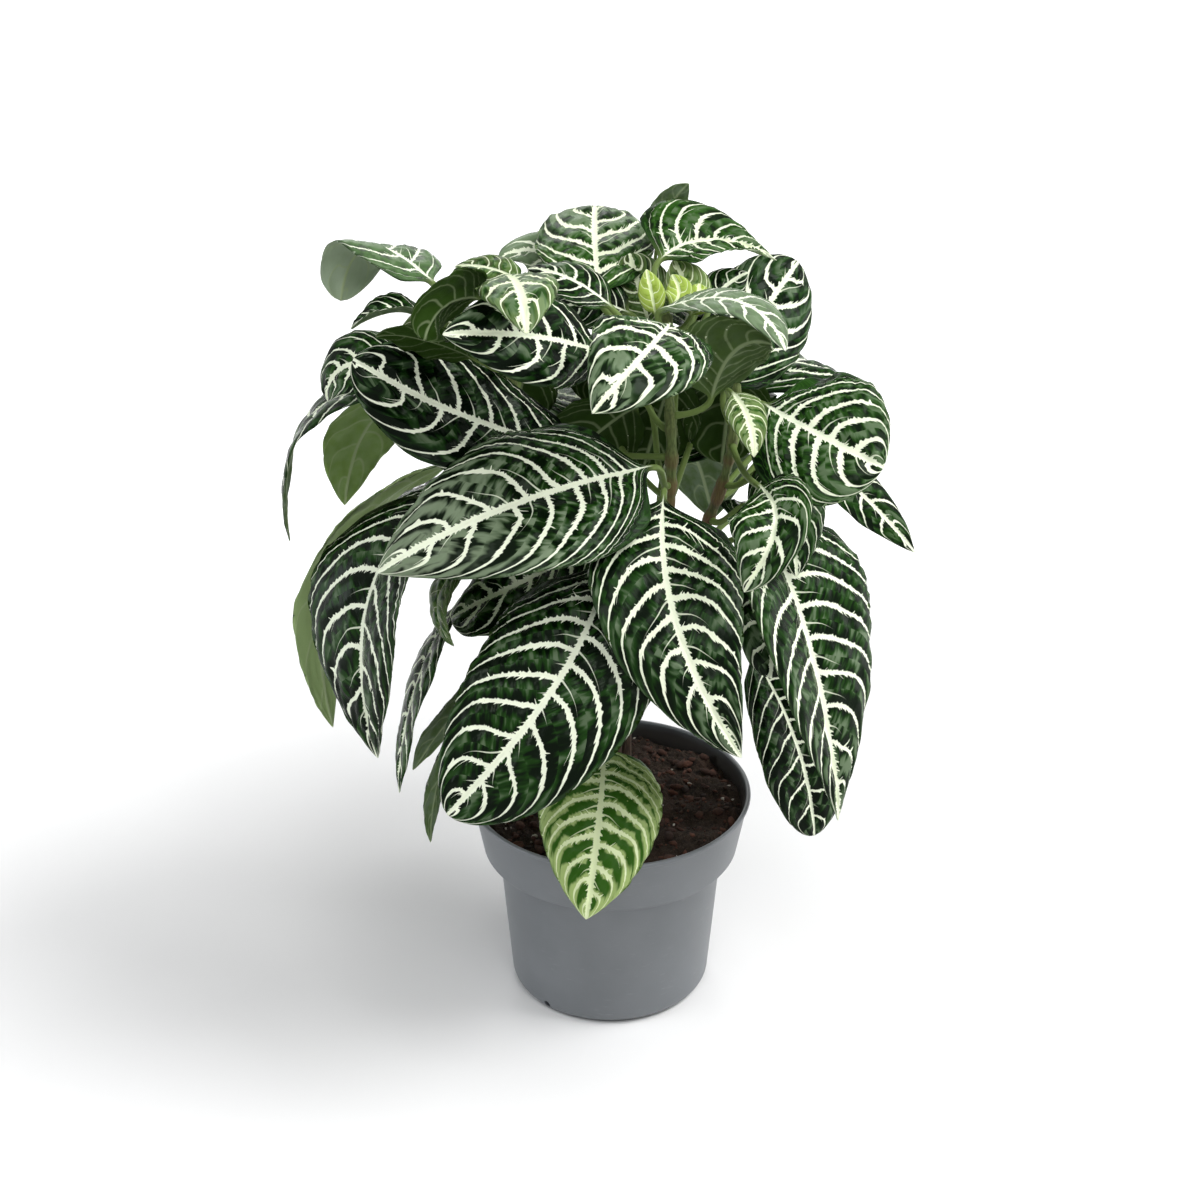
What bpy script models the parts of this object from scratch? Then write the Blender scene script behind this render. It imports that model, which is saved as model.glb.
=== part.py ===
"""Potted zebra plant: a nursery pot, its soil, three woody stems and the leaves that they carry.

Built in metres, +Z up, with the origin at the middle of the pot's flat base and the plant's front
towards -Y. The constants and tables hold millimetres, and MM turns them into metres.
"""

import math
from collections import namedtuple

import bmesh
import bpy
import numpy as np
from mathutils import Matrix

MM = 0.001
GAP = 0.3  # kept between pieces that touch

# Pot: a rim band over a step, and a body that tapers to a rounded foot.
POT_HEIGHT = 101
RIM_RADIUS = 65
BAND_HEIGHT = 28
BAND_FOOT_RADIUS = 59
STEP_DROP = 1
NECK_RADIUS = 52
BODY_FOOT_RADIUS = 46.5
FOOT_ROUNDING = 7
FOOT_TURNS = (0, 30, 60, 90)  # degrees round the foot's quarter round
WALL = 1.6
FLOOR = 2.4
DRAIN_HOLES = 6
DRAIN_HOLE_RADIUS = 4
DRAIN_RING_RADIUS = 26
SLOT_RADIUS = 1.8
SLOT_HEIGHT = 4.5
SLOT_ANGLES = (-130, -10, 110)  # degrees round the foot
ROUND_SEGMENTS = 48
BORE_SEGMENTS = 16

# Soil: close under the rim, and a little higher at the middle.
SOIL_LEVEL = 93
SOIL_RISE = 3

# Stems: the points of each axis, and the radius at the bottom and at the top.
STEM_STEPS = 3
STEMS = {
    "main_stem": (
        [(0, -2, 62), (2, -2, 130), (10, -2, 170), (20, 0, 215), (26, 0, 262), (25, 8, 300), (24, 12, 332)],
        4.2, 1.7,
    ),
    "left_stem": (
        [(-12, 4, 62), (-14, 6, 130), (-26, 8, 190), (-38, 8, 240), (-42, 13, 285), (-46, 9, 344)],
        3.8, 1.6,
    ),
    "right_stem": (
        [(8, 9, 62), (7, 11, 130), (18, 13, 170), (38, 12, 220), (51, 8, 262), (54, 2, 304)],
        3.8, 1.6,
    ),
}

# Leaf outlines: how fast the half width grows from the base and how fast it closes at the tip.
OVATE = (0.7, 0.92)
BROAD = (0.55, 0.92)
BLUNT = (0.6, 0.6)
FULL = (0.42, 0.6)
HEART = (0.42, 0.95)
LOBED = (0.42, 1.1)
TAPERED = (0.42, 1.6)

LEVEL = (12, 12)
DROOP = 0.25  # how far the margins curve down, as a share of the half width
UPPER_SKIN = 0.35  # from the middle of the blade's thickness up to its upper face
LOWER_SKIN = 0.35
LOWER_MIDRIB = 0.95  # the midrib stands out under the blade
STALK_RADIUS = 1.4
YOUNG_STALK_RADIUS = 0.8
YOUNG_WIDTH = 20  # a narrower blade has the young stalk
STALK_REACH = 0.35  # how far the stalk runs straight at each end, as a share of its span
STALK_SHARES = (0, 0.34, 0.67)
BLADE_SHARES = (0.05, 0.13, 0.25, 0.38, 0.51, 0.64, 0.76, 0.87, 0.95)
# A ring round the blade: the place across it, from -1 at the left margin to 1, and the skin there.
RING = (
    (-1, 0), (-0.5, UPPER_SKIN), (0, UPPER_SKIN), (0.5, UPPER_SKIN),
    (1, 0), (0.5, -LOWER_SKIN), (0, -LOWER_MIDRIB), (-0.5, -LOWER_SKIN),
)

# Base colour, linear, and roughness of each material.
POT_PLASTIC = (0.19, 0.20, 0.22), 0.42
SOIL_CRUMBS = (0.03, 0.02, 0.015), 0.95
BARK = (0.13, 0.07, 0.04), 0.8
LEAF_SKIN = (0.03, 0.09, 0.03), 0.35
YOUNG_LEAF_SKIN = (0.25, 0.35, 0.08), 0.35

# Leaves: name, stem and height of the node, then three points of the midrib (where the blade starts,
# its middle and its tip), the way the upper face looks at the base and at the tip, the greatest
# width, how many degrees the left and the right half fold up, and the outline.
Leaf = namedtuple("Leaf", "name stem node start middle tip base_face tip_face width folds edge")
LEAF_ROWS = [
    # the large leaves at the front
    ("leaf_01", "main_stem", 258, (17, -22, 276), (-43, -58, 275), (-97, -75, 253),
     (-2, -6, 8), (-3, -7, 7), 74, LEVEL, BROAD),
    ("leaf_02", "main_stem", 270, (-11, 5, 271), (-63, -19, 299), (-107, -31, 330),
     (-1, -6, 8), (-3, -6, 7), 56, LEVEL, BLUNT),
    ("leaf_03", "main_stem", 222, (-1, -40, 243), (-21, -84, 209), (-69, -105, 154),
     (-2, -6, 8), (-3, -9, 3), 78, LEVEL, FULL),
    ("leaf_04", "main_stem", 244, (22, -34, 268), (27, -82, 232), (54, -105, 182),
     (1, -5, 8), (1, -9, 4), 66, LEVEL, HEART),
    ("leaf_05", "main_stem", 114, (-3, -12, 132), (-5, -52, 120), (-11, -78, 82),
     (0, -2, 8), (0, -8, 4), 56, LEVEL, OVATE),
    ("leaf_06", "left_stem", 244, (-65, -5, 256), (-103, -41, 226), (-102, -53, 150),
     (-4, -4, 8), (-5, -8, 0), 76, (40, 0), OVATE),
    ("leaf_07", "left_stem", 252, (-64, 15, 263), (-121, 5, 220), (-127, 0, 134),
     (-5, 4, 8), (-7, 7, 0), 44, LEVEL, BROAD),
    ("leaf_08", "left_stem", 186, (-67, 10, 195), (-88, 0, 156), (-97, -10, 105),
     (-8, -1, 4), (-8, -3, 0), 30, LEVEL, OVATE),
    ("leaf_09", "left_stem", 206, (-63, 5, 218), (-77, 0, 200), (-70, -8, 181),
     (-8, -2, 4), (-8, -4, 0), 24, LEVEL, OVATE),
    ("leaf_10", "left_stem", 160, (-41, 20, 169), (-68, 10, 142), (-92, 10, 105),
     (-5, 5, 5), (-5, 5, 3), 34, LEVEL, OVATE),
    ("leaf_11", "left_stem", 150, (-41, 0, 168), (-72, -15, 134), (-82, -30, 91),
     (-8, 4, 5), (-8, 4, 0), 30, LEVEL, OVATE),
    ("leaf_12", "left_stem", 274, (-75, 30, 290), (-134, 45, 270), (-148, 50, 204),
     (-5, 1, 8), (-9, 0, 3), 30, LEVEL, OVATE),
    ("leaf_13", "left_stem", 264, (-72, 42, 276), (-107, 68, 260), (-125, 80, 208),
     (-4, 7, 5), (-4, 8, 1), 44, LEVEL, OVATE),
    # the crown
    ("leaf_14", "left_stem", 324, (-75, 0, 351), (-104, 30, 356), (-117, 28, 332),
     (1, -2, 8), (-3, 9, 2), 38, LEVEL, BLUNT),
    ("leaf_15", "left_stem", 332, (-55, -20, 353), (-68, -39, 357), (-76, -52, 347),
     (-2, 8, 2), (-2, 8, 4), 38, LEVEL, BLUNT),
    ("leaf_16", "left_stem", 338, (-43, -18, 361), (-37, -49, 367), (-34, -70, 357),
     (0, -3, 8), (1, -7, 6), 34, LEVEL, OVATE),
    ("leaf_17", "main_stem", 304, (-4, -15, 326), (-34, -40, 344), (-68, -60, 353),
     (0, -6, 6), (0, -7, 5), 44, LEVEL, OVATE),
    ("leaf_18", "left_stem", 314, (-78, 2, 333), (-92, -4, 340), (-110, -4, 332),
     (-1, -4, 8), (-3, -4, 8), 24, (65, 12), OVATE),
    ("leaf_19", "left_stem", 300, (-88, 22, 304), (-115, 22, 304), (-124, 22, 287),
     (-2, -5, 8), (-7, -5, 3), 34, LEVEL, OVATE),
    ("leaf_20", "main_stem", 322, (-5, 30, 333), (-7, 60, 346), (-7, 98, 350),
     (0, -6, 7), (0, -2, 8), 54, LEVEL, BLUNT),
    ("leaf_21", "main_stem", 328, (21, 35, 348), (43, 45, 353), (72, 40, 346),
     (0, -7, 5), (2, -6, 6), 46, (5, 58), TAPERED),
    ("leaf_22", "right_stem", 284, (49, 10, 297), (64, 35, 319), (83, 62, 337),
     (1, -7, 4), (2, -7, 4), 48, LEVEL, BLUNT),
    ("leaf_23", "main_stem", 326, (21, 9, 335), (53, -3, 344), (72, -30, 333),
     (0, 0, 8), (3, -2, 8), 28, LEVEL, OVATE),
    ("leaf_24", "main_stem", 288, (43, 5, 296), (52, -6, 323), (67, -20, 332),
     (0, 9, 1), (-1, 9, 1), 49, (40, 18), OVATE),
    ("leaf_25", "main_stem", 312, (24, -22, 341), (14, -56, 344), (-8, -86, 330),
     (1, -4, 8), (0, -7, 6), 51, LEVEL, BROAD),
    ("leaf_26", "main_stem", 318, (0, 5, 338), (-17, 12, 348), (-36, 22, 349),
     (0, -3, 8), (0, -2, 8), 24, LEVEL, OVATE),
    ("leaf_27", "left_stem", 340, (-38, 5, 350), (-52, 15, 352), (-67, 25, 349),
     (0, -4, 8), (-2, -3, 8), 18, LEVEL, OVATE),
    ("leaf_28", "main_stem", 316, (0, 50, 322), (-29, 79, 334), (-51, 75, 331),
     (-1, -5, 8), (-4, -3, 8), 36, LEVEL, OVATE),
    ("leaf_29", "main_stem", 308, (5, 55, 316), (-18, 100, 335), (-34, 118, 328),
     (-1, -5, 8), (-4, -3, 8), 34, LEVEL, OVATE),
    ("leaf_30", "main_stem", 312, (39, 36, 327), (49, 56, 323), (65, 68, 316),
     (0, -2, 8), (1, -2, 8), 24, LEVEL, OVATE),
    # the right side
    ("leaf_31", "right_stem", 290, (65, -10, 300), (91, -30, 293), (114, -41, 285),
     (1, -7, 6), (2, -7, 5), 66, LEVEL, BLUNT),
    ("leaf_32", "right_stem", 300, (50, -36, 317), (56, -55, 313), (58, -65, 301),
     (0, -7, 6), (1, -7, 5), 17, LEVEL, OVATE),
    ("leaf_33", "right_stem", 274, (62, -45, 278), (67, -76, 275), (54, -90, 252),
     (0, -6, 7), (0, -8, 5), 40, (45, 8), OVATE),
    ("leaf_34", "right_stem", 254, (70, -3, 269), (75, -23, 262), (79, -42, 234),
     (2, -6, 7), (3, -8, 4), 35, LEVEL, OVATE),
    ("leaf_35", "right_stem", 236, (62, -10, 250), (85, -45, 203), (100, -60, 122),
     (3, -4, 8), (5, -8, 2), 84, (8, 40), LOBED),
    ("leaf_36", "right_stem", 246, (85, 38, 260), (113, 40, 234), (139, 35, 206),
     (2, -6, 7), (3, -7, 5), 24, LEVEL, OVATE),
    ("leaf_37", "right_stem", 164, (63, 10, 169), (84, -5, 131), (94, -15, 85),
     (3, -6, 5), (3, -8, 3), 50, (8, 28), BLUNT),
    ("leaf_38", "main_stem", 234, (-5, -20, 238), (-35, -28, 226), (-70, -22, 203),
     (-1, -4, 8), (-3, -3, 8), 50, LEVEL, BLUNT),
    # the back
    ("leaf_39", "right_stem", 250, (66, 42, 254), (94, 74, 250), (112, 92, 208),
     (2, -1, 8), (6, 2, 5), 48, LEVEL, OVATE),
    ("leaf_40", "right_stem", 266, (64, 42, 280), (90, 78, 282), (107, 102, 238),
     (1, 0, 8), (5, 4, 6), 54, LEVEL, OVATE),
    ("leaf_41", "main_stem", 246, (36, 42, 258), (50, 92, 262), (56, 128, 222),
     (0, 0, 8), (1, 6, 6), 58, LEVEL, OVATE),
    ("leaf_42", "main_stem", 250, (2, 42, 262), (-12, 90, 263), (-20, 130, 222),
     (0, 0, 8), (-1, 6, 6), 60, LEVEL, OVATE),
    ("leaf_43", "left_stem", 256, (-46, 42, 273), (-65, 84, 271), (-80, 110, 225),
     (-1, 0, 8), (-4, 5, 6), 54, LEVEL, OVATE),
    ("leaf_44", "main_stem", 224, (24, 40, 244), (36, 82, 240), (50, 110, 186),
     (0, 1, 8), (2, 7, 4), 56, LEVEL, OVATE),
    ("leaf_45", "left_stem", 222, (-36, 42, 240), (-42, 84, 228), (-48, 112, 172),
     (0, 1, 8), (-2, 7, 4), 56, LEVEL, OVATE),
    ("leaf_46", "right_stem", 206, (54, 44, 218), (80, 72, 202), (100, 86, 150),
     (1, 1, 8), (5, 6, 4), 52, LEVEL, OVATE),
    ("leaf_47", "left_stem", 236, (-62, 34, 238), (-86, 58, 228), (-102, 74, 202),
     (-2, 1, 8), (-5, 5, 4), 40, LEVEL, OVATE),
    ("leaf_48", "main_stem", 302, (32, 38, 314), (40, 80, 312), (46, 114, 284),
     (0, 0, 8), (1, 5, 7), 44, LEVEL, OVATE),
    ("leaf_49", "left_stem", 314, (-40, 34, 324), (-48, 68, 314), (-54, 90, 294),
     (0, 0, 8), (-2, 5, 7), 42, LEVEL, OVATE),
    # the young leaves at the growing tip of the main stem
    ("leaf_50", "main_stem", 326, (19, 15, 331), (17, 17, 341), (15, 22, 349),
     (0, -8, 2), (0, -8, 2), 12, LEVEL, OVATE),
    ("leaf_51", "main_stem", 330, (25, 16, 334), (29, 20, 339), (26, 26, 345),
     (0, -8, 3), (0, -8, 3), 13, LEVEL, OVATE),
    ("leaf_52", "main_stem", 324, (34, 16, 330), (37, 21, 337), (38, 28, 340),
     (0, -8, 3), (0, -8, 3), 14, LEVEL, OVATE),
    # between the others: under the crown, behind its top and behind the stems
    ("leaf_53", "left_stem", 310, (-57, -14, 323), (-80, -23, 336), (-98, -26, 338),
     (0, 6, 4), (0, 6, 4), 25, LEVEL, OVATE),
    ("leaf_54", "main_stem", 320, (20, 57, 345), (25, 64, 360), (34, 60, 374),
     (0, 7, -3), (-1, 7, -2), 16, LEVEL, OVATE),
    ("leaf_55", "main_stem", 282, (6, 30, 304), (2, 42, 290), (0, 46, 268),
     (0, 8, 3), (0, 8, 2), 44, LEVEL, OVATE),
]


def clear_scene():
    for obj in list(bpy.data.objects):
        bpy.data.objects.remove(obj, do_unlink=True)


def new_collection(name):
    collection = bpy.data.collections.new(name)
    bpy.context.scene.collection.children.link(collection)
    return collection


def new_material(name, colour, roughness):
    made = bpy.data.materials.new(name)
    made.use_nodes = True
    shader = made.node_tree.nodes["Principled BSDF"]
    shader.inputs["Base Color"].default_value = (*colour, 1)
    shader.inputs["Roughness"].default_value = roughness
    return made


def add_object(name, data, collection, surface=None):
    obj = bpy.data.objects.new(name, data)
    collection.objects.link(obj)
    if surface:
        data.materials.append(surface)
    return obj


def cut(obj, cutter):
    """Takes the cutter, which stays hidden, away from the object."""
    cutter.hide_render = True
    cutter.display_type = "WIRE"
    modifier = obj.modifiers.new("cut by " + cutter.name, "BOOLEAN")
    modifier.operation = "DIFFERENCE"
    modifier.solver = "EXACT"
    modifier.object = cutter


def turned(name, profile, collection, surface):
    """A solid of revolution from (radius, height) points that end by running down the outer side."""
    mesh = bpy.data.meshes.new(name)
    points = [(radius * MM, 0, height * MM) for radius, height in profile]
    mesh.from_pydata(points, [(i, i + 1) for i in range(len(points) - 1)], [])
    obj = add_object(name, mesh, collection, surface)
    screw = obj.modifiers.new("turn", "SCREW")
    screw.axis = "Z"
    screw.angle = math.tau
    screw.steps = ROUND_SEGMENTS
    screw.render_steps = ROUND_SEGMENTS
    screw.use_merge_vertices = True
    screw.merge_threshold = 0.00001
    screw.use_smooth_shade = True
    return obj


def inner_profile():
    """The pot's inside, from the middle of its floor up to the rim."""
    ledge = POT_HEIGHT - BAND_HEIGHT + WALL
    corner = FOOT_ROUNDING - WALL
    return [
        (0, FLOOR),
        (BODY_FOOT_RADIUS - WALL - corner, FLOOR),
        (BODY_FOOT_RADIUS - WALL, FLOOR + corner),
        (NECK_RADIUS - WALL, ledge - STEP_DROP),
        (BAND_FOOT_RADIUS - WALL, ledge),
        (RIM_RADIUS - WALL, POT_HEIGHT - WALL / 2),
    ]


def outer_profile():
    """The pot's outside, from the rim down to the middle of its base, with a quarter round at the foot."""
    band_foot = POT_HEIGHT - BAND_HEIGHT
    points = [
        (RIM_RADIUS - WALL / 2, POT_HEIGHT),
        (RIM_RADIUS, POT_HEIGHT - WALL / 2),
        (BAND_FOOT_RADIUS, band_foot),
        (NECK_RADIUS, band_foot - STEP_DROP),
    ]
    for turn in FOOT_TURNS:
        out = FOOT_ROUNDING * (1 - math.cos(math.radians(turn)))
        up = FOOT_ROUNDING * (1 - math.sin(math.radians(turn)))
        points.append((BODY_FOOT_RADIUS - out, up))
    return points + [(0, 0)]


def add_bore(bm, radius, length, place):
    """A capped cylinder along its own Z, put in place by a matrix."""
    bmesh.ops.create_cone(
        bm,
        cap_ends=True,
        segments=BORE_SEGMENTS,
        radius1=radius * MM,
        radius2=radius * MM,
        depth=length * MM,
        matrix=place,
    )


def make_pot(pieces, cutters):
    plastic = new_material("pot plastic", *POT_PLASTIC)
    pot = turned("pot", inner_profile() + outer_profile(), pieces, plastic)
    bm = bmesh.new()
    for hole in range(DRAIN_HOLES):
        turn = Matrix.Rotation(math.tau * hole / DRAIN_HOLES, 4, "Z")
        centre = Matrix.Translation((DRAIN_RING_RADIUS * MM, 0, 0))
        add_bore(bm, DRAIN_HOLE_RADIUS, 4 * FLOOR, turn @ centre)
    for angle in SLOT_ANGLES:
        turn = Matrix.Rotation(math.radians(angle), 4, "Z")
        centre = Matrix.Translation(((BODY_FOOT_RADIUS - WALL) * MM, 0, SLOT_HEIGHT * MM))
        lying = Matrix.Rotation(math.radians(90), 4, "Y")
        add_bore(bm, SLOT_RADIUS, 2 * FOOT_ROUNDING, turn @ centre @ lying)
    mesh = bpy.data.meshes.new("pot drain bores")
    bm.to_mesh(mesh)
    bm.free()
    cut(pot, add_object("pot drain bores", mesh, cutters))


def soil_profile():
    """The soil, from its raised middle over the edge and down to the pot's floor, a gap inside the pot."""
    inside = [(max(radius - GAP, 0), height + GAP) for radius, height in inner_profile()]
    (low_radius, low), (high_radius, high) = inside[-2:]
    edge = low_radius + (high_radius - low_radius) * (SOIL_LEVEL - low) / (high - low)
    top = [(0, SOIL_LEVEL + SOIL_RISE), (edge / 2, SOIL_LEVEL + SOIL_RISE * 3 / 4), (edge, SOIL_LEVEL)]
    return top + inside[-2::-1]


def smooth_path(points, steps):
    """A Catmull-Rom curve through the points, with this many steps between each two."""
    points = np.array(points, float)
    ends = np.vstack([2 * points[0] - points[1], points, 2 * points[-1] - points[-2]])
    t = np.linspace(0, 1, steps, endpoint=False)[:, None]
    spans = []
    for a, b, c, d in zip(ends, ends[1:], ends[2:], ends[3:]):
        spans.append(0.5 * (2 * b + (c - a) * t + (2 * a - 5 * b + 4 * c - d) * t**2
                            + (3 * b - a - 3 * c + d) * t**3))
    return np.vstack(spans + [points[-1:]])


def stem_axis(name):
    """The stem's smooth axis, and its radius at each of its points."""
    points, low_radius, high_radius = STEMS[name]
    axis = smooth_path(points, STEM_STEPS)
    share = (axis[:, 2] - axis[0, 2]) / (axis[-1, 2] - axis[0, 2])
    return axis, low_radius + (high_radius - low_radius) * share


def tube(name, axis, radii, collection, surface=None):
    """A round bar along the axis, made from a curve with filled caps and turned into a mesh."""
    curve = bpy.data.curves.new(name + " path", "CURVE")
    curve.dimensions = "3D"
    curve.bevel_depth = MM
    curve.bevel_resolution = 2
    curve.use_fill_caps = True
    spline = curve.splines.new("POLY")
    spline.points.add(len(axis) - 1)
    for point, place, radius in zip(spline.points, axis, radii):
        point.co = (*(place * MM), 1)
        point.radius = radius
    path = add_object(name + " path", curve, collection)
    bpy.context.view_layer.update()
    graph = bpy.context.evaluated_depsgraph_get()
    mesh = bpy.data.meshes.new_from_object(path.evaluated_get(graph))
    mesh.name = name
    bm = bmesh.new()
    bm.from_mesh(mesh)
    bmesh.ops.remove_doubles(bm, verts=bm.verts, dist=0.00001)
    bmesh.ops.recalc_face_normals(bm, faces=bm.faces)
    bm.to_mesh(mesh)
    bm.free()
    mesh.shade_smooth()
    made = add_object(name, mesh, collection, surface)
    made.matrix_world = path.matrix_world
    bpy.data.objects.remove(path, do_unlink=True)
    return made


def make_stems_and_soil(pieces, cutters):
    """The stems, and the soil with a socket round the foot of each."""
    bark = new_material("bark", *BARK)
    soil = turned("soil", soil_profile(), pieces, new_material("soil", *SOIL_CRUMBS))
    for name in STEMS:
        axis, radii = stem_axis(name)
        tube(name, axis, radii, pieces, bark)
        foot = axis[: STEM_STEPS + 1].copy()
        foot[0, 2] -= GAP
        cut(soil, tube(name + " socket", foot, radii[: STEM_STEPS + 1] + GAP, cutters))


def unit(vectors):
    return vectors / np.linalg.norm(vectors, axis=-1, keepdims=True)


def bent_line(start, middle, tip, shares):
    """Points and directions on a parabola through three points, at shares of its length."""
    start, middle, tip = (np.array(point, float) for point in (start, middle, tip))
    pull = 2 * middle - (start + tip) / 2

    def place(t):
        t = np.asarray(t)[..., None]
        return (1 - t) ** 2 * start + 2 * t * (1 - t) * pull + t**2 * tip

    steps = np.linspace(0, 1, 101)
    lengths = np.append(0, np.cumsum(np.linalg.norm(np.diff(place(steps), axis=0), axis=1)))
    t = np.interp(np.asarray(shares) * lengths[-1], lengths, steps)
    along = 2 * (1 - t[:, None]) * (pull - start) + 2 * t[:, None] * (tip - pull)
    return place(t), unit(along)


def outline(shares, growth, closing):
    """The half width of a leaf as a share of its widest: u^growth * (1 - u)^closing, scaled to reach 1."""
    widest = growth / (growth + closing)
    return shares**growth * (1 - shares) ** closing / (widest**growth * (1 - widest) ** closing)


def blade_rings(leaf):
    """Rings of eight points along the blade: the two margins, three points on top and three below."""
    shares = np.array(BLADE_SHARES)
    place, along = bent_line(leaf.start, leaf.middle, leaf.tip, shares)
    base_face, tip_face = unit(np.array(leaf.base_face, float)), unit(np.array(leaf.tip_face, float))
    face = base_face + (tip_face - base_face) * shares[:, None]
    up = unit(face - (face * along).sum(axis=1, keepdims=True) * along)
    across = np.cross(along, up)
    half = np.maximum(leaf.width / 2 * outline(shares, *leaf.edge), stalk_radius(leaf))[:, None]
    rings = np.empty((len(shares), 8, 3))
    for corner, (s, skin) in enumerate(RING):
        fold = math.radians(leaf.folds[0] if s < 0 else leaf.folds[1])
        lift = half * (abs(s) * math.sin(fold) - DROOP * s * s) + skin
        rings[:, corner] = place + across * half * s * math.cos(fold) + up * lift
    return rings


def stalk_radius(leaf):
    return YOUNG_STALK_RADIUS if leaf.width < YOUNG_WIDTH else STALK_RADIUS


def stalk_rings(leaf):
    """Round rings along the stalk, from the side of the stem to the base of the blade."""
    axis, radii = stem_axis(leaf.stem)
    centre = np.array([np.interp(leaf.node, axis[:, 2], axis[:, i]) for i in range(3)])
    above = np.array([np.interp(leaf.node + 1, axis[:, 2], axis[:, i]) for i in range(3)])
    rise = unit(above - centre)
    start = np.array(leaf.start, float)
    out = start - centre
    out = unit(out - (out @ rise) * rise)
    root = centre + out * (np.interp(leaf.node, axis[:, 2], radii) + GAP)
    into_blade = bent_line(leaf.start, leaf.middle, leaf.tip, [0])[1][0]
    reach = STALK_REACH * np.linalg.norm(start - root)
    near, far = root + out * reach, start - into_blade * reach
    up = unit(np.array(leaf.base_face, float))
    rings = []
    for t in (1, *reversed(STALK_SHARES)):
        place = (1 - t) ** 3 * root + 3 * t * (1 - t) ** 2 * near + 3 * t**2 * (1 - t) * far + t**3 * start
        along = (1 - t) ** 2 * (near - root) + 2 * t * (1 - t) * (far - near) + t**2 * (start - far)
        along = unit(along)
        up = unit(up - (up @ along) * along)
        across = np.cross(along, up)
        turns = np.radians(np.arange(180, -180, -45))[:, None]
        rings.insert(0, place + stalk_radius(leaf) * (across * np.cos(turns) + up * np.sin(turns)))
    return np.array(rings)


def make_leaf(leaf, pieces, surface):
    """A closed loft: a round stalk that flattens into a thin blade and ends in one point at the tip."""
    rings = np.vstack([stalk_rings(leaf), blade_rings(leaf)])
    bm = bmesh.new()
    loops = [[bm.verts.new(point * MM) for point in ring] for ring in rings]
    for ring, following in zip(loops, loops[1:]):
        for i in range(8):
            a, b, c, d = ring[i - 1], ring[i], following[i], following[i - 1]
            # Both skins are split the same way across the blade, so they don't cross where it twists.
            upper = 0 < i < 5
            bm.faces.new((a, b, c) if upper else (a, b, d))
            bm.faces.new((a, c, d) if upper else (b, c, d))
    tip = bm.verts.new(np.array(leaf.tip) * MM)
    for i in range(8):
        bm.faces.new((loops[-1][i - 1], loops[-1][i], tip))
    bm.faces.new(loops[0])
    bmesh.ops.recalc_face_normals(bm, faces=bm.faces)
    mesh = bpy.data.meshes.new(leaf.name)
    bm.to_mesh(mesh)
    bm.free()
    mesh.shade_smooth()
    add_object(leaf.name, mesh, pieces, surface)


def main():
    clear_scene()
    pieces = new_collection("potted zebra plant")
    cutters = new_collection("cutters")
    make_pot(pieces, cutters)
    make_stems_and_soil(pieces, cutters)
    grown = new_material("leaf", *LEAF_SKIN)
    young = new_material("young leaf", *YOUNG_LEAF_SKIN)
    for row in LEAF_ROWS:
        leaf = Leaf(*row)
        make_leaf(leaf, pieces, young if leaf.width < YOUNG_WIDTH else grown)


main()
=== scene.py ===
"""Looks of the potted zebra plant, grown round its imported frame.

Everything is in the frame's own metres, +Z up, with the origin at the middle of the pot's base and
the plant's front towards -Y. Tables hold millimetres, and MM turns them into metres. The stems and
leaves follow the same points and the same formulas as the CAD solids that they replace, on finer
grids: each surface is a function of two parameters, worked out as whole arrays.
"""

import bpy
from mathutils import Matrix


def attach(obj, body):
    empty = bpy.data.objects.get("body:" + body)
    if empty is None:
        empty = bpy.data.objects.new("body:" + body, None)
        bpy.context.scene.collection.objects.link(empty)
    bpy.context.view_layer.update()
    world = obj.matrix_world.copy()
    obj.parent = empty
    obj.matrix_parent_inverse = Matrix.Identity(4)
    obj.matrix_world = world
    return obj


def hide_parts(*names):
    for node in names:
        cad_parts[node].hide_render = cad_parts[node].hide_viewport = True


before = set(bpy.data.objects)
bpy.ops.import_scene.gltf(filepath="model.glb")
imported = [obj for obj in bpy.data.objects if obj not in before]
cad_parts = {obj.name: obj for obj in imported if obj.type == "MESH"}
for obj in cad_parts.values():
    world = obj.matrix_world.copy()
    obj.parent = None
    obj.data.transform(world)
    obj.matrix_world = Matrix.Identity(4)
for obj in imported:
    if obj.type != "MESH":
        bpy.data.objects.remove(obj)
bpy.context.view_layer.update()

import math
from collections import namedtuple

import bmesh
import bpy
import numpy as np
from mathutils import Matrix, Vector

MM = 0.001

# Pot: a rolled lip and a rim band over a step, and a body that tapers to a rounded foot
POT_HEIGHT = 101
RIM_RADIUS = 65
BAND_HEIGHT = 28
BAND_FOOT_RADIUS = 59
STEP_DROP = 1
NECK_RADIUS = 52
BODY_FOOT_RADIUS = 46.5
FOOT_ROUNDING = 7
FOOT_STEPS = 9
WALL = 1.6
FLOOR = 2.4
LIP = 2.2  # thickness of the rolled lip
LIP_STEPS = 14
LIP_TURN = (-20, 235)  # degrees, from its inner side over its top to its underside
UNDER_LIP = (0.7, 0.6)  # how far the band starts inside the rim's radius, and below the lip
BAND_ROUNDING = ((0.15, 0.9), (-0.25, 0.2), (-0.9, 0))  # outwards and upwards from the band's foot
NECK_ROUNDING = ((0.5, 0.05), (0, -0.4))  # outwards and upwards from the neck
POT_SEGMENTS = 160
DRAIN_HOLES = 6
DRAIN_HOLE_RADIUS = 4
DRAIN_RING_RADIUS = 26
SLOT_RADIUS = 1.8
SLOT_HEIGHT = 4.5
SLOT_ANGLES = (-130, -10, 110)  # degrees round the foot
BORE_SEGMENTS = 32
SHARP_FROM = 50  # degrees between two faces of the pot

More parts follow.
